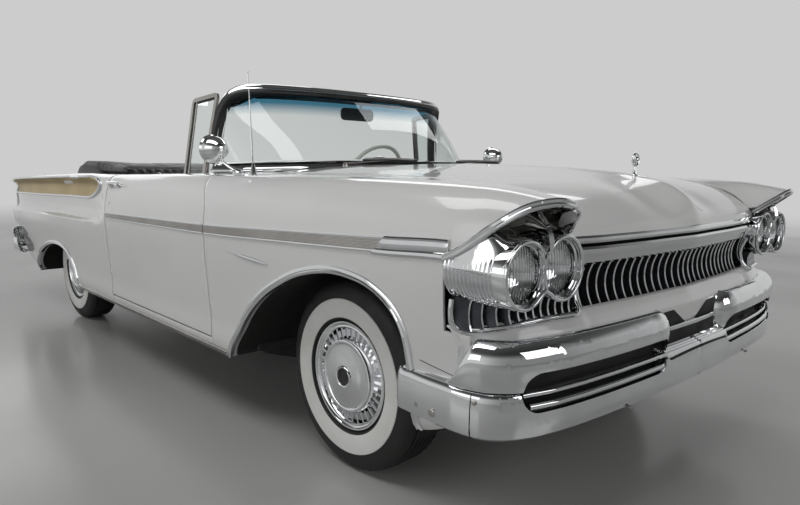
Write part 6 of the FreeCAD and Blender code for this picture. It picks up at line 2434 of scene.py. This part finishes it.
def buildDashBright(bm):
    for y, r in dials:
        dialAt(bm, y, dialHeight, r)
    for z in (0.925, 0.822):
        sweep(bm, [Vector((0.5855 + (0.008 if z < 0.9 else 0.004), dash["half"] * (k / 10 - 1), z))
                   for k in range(21)], roundBox(0.006, 0.008, 0.002, 2))
    plate = [Vector((0.582, y, dialHeight)) for y in evenly(-0.085, 0.17, 8)]
    sweep(bm, plate, roundBox(0.008, 0.075, 0.003, 2))
    for k in range(5):
        sweep(bm, [Vector((0.577, -0.050 + 0.025 * k + d, 0.852)) for d in (-0.009, 0.009)],
              roundBox(0.010, 0.014, 0.003, 2))
    for y, z in ((-0.075, 0.852), (0.075, 0.852), (0.15, 0.800), (0.60, 0.80), (0.20, 0.79),
                 (-0.14, 0.80), (-0.45, 0.90)):
        lathe(bm, [(0.0, 0.024), (0.008, 0.023), (0.011, 0.018), (0.009, 0.010), (0.008, -0.006)],
              (-1, 0, 0), (0.590, y, z), 20)


def buildDialFaces(bm):
    for y, r in dials:
        lathe(bm, [(0.0, 0.001), (r - 0.004, 0.001), (r, -0.006)], (-1, 0, 0),
              (0.581, y, dialHeight), 40)
    sweep(bm, [Vector((0.5765, y, 0.885)) for y in evenly(-0.062, 0.124, 4)],
          roundBox(0.004, 0.026, 0.001, 1))
    box = [(-0.66, 0.905), (-0.34, 0.905), (-0.34, 0.838), (-0.66, 0.838)]
    loop = roundedLoop([Vector((0.5845, y, z)) for y, z in box], 0.02)
    sweep(bm, loop, roundBox(0.0025, 0.0025, 0.0008, 1), (-1, 0, 0), closed=True)


def buildNeedles(bm):
    for y, r, turn in ((0.380, 0.060, 215), (0.245, 0.032, 60), (0.515, 0.032, 110),
                       (-0.235, 0.030, 90), (-0.235, 0.022, 300)):
        a = math.radians(turn)
        way = Vector((0, math.cos(a), math.sin(a)))
        start = Vector((0.5785, y, dialHeight))
        sweep(bm, [start - way * r * 0.15, start, start + way * r * 0.82],
              roundBox(0.0024, 0.0014, 0.0004, 1), (-1, 0, 0))
        for t in (math.radians(mark) for mark in evenly(-40, 260, 12)):
            out = Vector((0, math.cos(t), math.sin(t)))
            sweep(bm, [start + out * r * 0.84, start + out * r * 0.94],
                  roundBox(0.0016, 0.001, 0.0003, 1), (-1, 0, 0))


onePiece("dashBright", buildDashBright, chrome, "body_shell", "chrome", smooth=40)
onePiece("dashDials", buildDialFaces, blackPaint, "body_shell", "interior_dark")
onePiece("dashMarks", buildNeedles, vinylWhite, "body_shell", "interior_dark")

steer = {"centre": Vector((0.485, 0.380, 1.030)), "lean": 28, "rim": 0.205, "grip": 0.0115}
steerAxis = Vector((-math.cos(math.radians(steer["lean"])), 0,
                    math.sin(math.radians(steer["lean"]))))
steerUp = Vector((0, 1, 0)).cross(steerAxis).normalized()


def steerSpot(angle, radius, rise=0.0):
    a = math.radians(angle)
    return steer["centre"] + Vector((0, 1, 0)) * radius * math.cos(a) \
        - steerUp * radius * math.sin(a) + steerAxis * rise


def buildSteerRim(bm):
    path = [steerSpot(a, steer["rim"]) for a in range(0, 360, 3)]
    sweep(bm, path, ring(steer["grip"], 12), [steerAxis] * len(path), closed=True,
          scale=lambda u: 1.0 + 0.07 * (math.sin(u * 120 * 0.9) > 0.55))
    for side in (0, 180):
        spoke = [steerSpot(side, r, rise) for r, rise in
                 ((0.040, -0.012), (0.08, -0.010), (0.13, -0.005), (0.17, -0.001), (0.200, 0.0))]
        sweep(bm, smoothLine(spoke, 4), roundBox(0.034, 0.012, 0.005, 3), steerAxis,
              scale=lambda u: 1.0 - 0.35 * u)
    lathe(bm, [(0.0, 0.003), (0.026, 0.002), (0.038, -0.004), (0.041, -0.014), (0.040, -0.034),
               (0.030, -0.037)], steerAxis, steer["centre"], 40)


def buildSteerBright(bm):
    path = [steerSpot(a, 0.135, -0.002) for a in range(184, 357, 4)]
    sweep(bm, path, ring(0.0045, 8), [steerAxis] * len(path))
    for a in (184, 356):
        sweep(bm, [steerSpot(a, r, 0.001 - 0.003 * (r > 0.1)) for r in (0.028, 0.08, 0.135)],
              roundBox(0.010, 0.005, 0.002, 2), steerAxis)
    lathe(bm, [(0.0, 0.0055), (0.012, 0.005), (0.020, 0.0025), (0.030, 0.001), (0.031, -0.004)],
          steerAxis, steer["centre"], 32)


onePiece("steeringRim", buildSteerRim, wheelPlastic, "steering_wheel", "wheel_plastic",
         ("steering_wheel",), smooth=45)
onePiece("steeringRing", buildSteerBright, chrome, "steering_wheel", "chrome", smooth=45)


def buildColumn(bm):
    lathe(bm, [(0.0, -0.0395), (0.024, -0.0395), (0.0268, -0.043), (0.0268, -0.16),
               (0.0255, -0.17), (0.0255, -0.24), (0.0268, -0.245), (0.0268, -0.558),
               (0.0, -0.558)], steerAxis, steer["centre"], 32)


def buildStalks(bm):
    start = steer["centre"] - steerAxis * 0.085
    right = Vector((0, -1, 0))
    for way, reach, knob in ((right + steerUp * -0.25, 0.185, 0.012),
                             (-right + steerUp * -0.1, 0.14, 0.007)):
        way = way.normalized()
        sweep(bm, [start + way * 0.020, start + way * reach], ring(0.0042, 10), steerAxis)
        bmesh.ops.create_uvsphere(bm, u_segments=14, v_segments=10, radius=knob,
                                  matrix=Matrix.Translation(start + way * reach))


onePiece("columnTube", buildColumn, paint, "body_shell", "wheel_plastic", ("steering_column",),
         smooth=40)
onePiece("columnStalks", buildStalks, chrome, "body_shell", "chrome")


def buildViewMirror(bm):
    middle = Vector((0.800, 0.0, 1.362))
    corners = [(-0.105, -0.028), (0.105, -0.028), (0.105, 0.028), (-0.105, 0.028)]
    loop = roundedLoop([middle + Vector((0, a, b)) for a, b in corners], 0.022)
    sweep(bm, loop, roundBox(0.008, 0.012, 0.003, 2), (1, 0, 0), closed=True)
    bm.faces.new([bm.verts.new(p + Vector((0.004, 0, 0))) for p in loop])
    stem = [middle + Vector((0.004, 0, 0)), middle + Vector((0.025, 0, 0.030)),
            middle + Vector((0.050, 0, 0.066))]
    sweep(bm, smoothLine(stem, 4), ring(0.006, 10), (0, 1, 0))


onePiece("viewMirror", buildViewMirror, blackPaint, "body_shell", "interior_dark", smooth=40)
print("stage: dashboard and steering made")

# the pieces carried over as they are get a finish
carried = {
    "cowl": paint, "rear_bulkhead": carpet, "floor_pan": carpet, "chassis_frame": underseal,
    "front_suspension": castIron, "rear_axle": castIron, "engine_and_driveshaft": castIron,
    "exhaust": pipeSteel, "fuel_tank": satinSteel, "radiator": blackPaint,
    "knuckle_right": castIron, "knuckle_left": castIron,
}
for name, material in carried.items():
    meshes = frame["nodes"][name].data.materials
    meshes.clear()
    meshes.append(material)
print("stage: carried pieces finished")
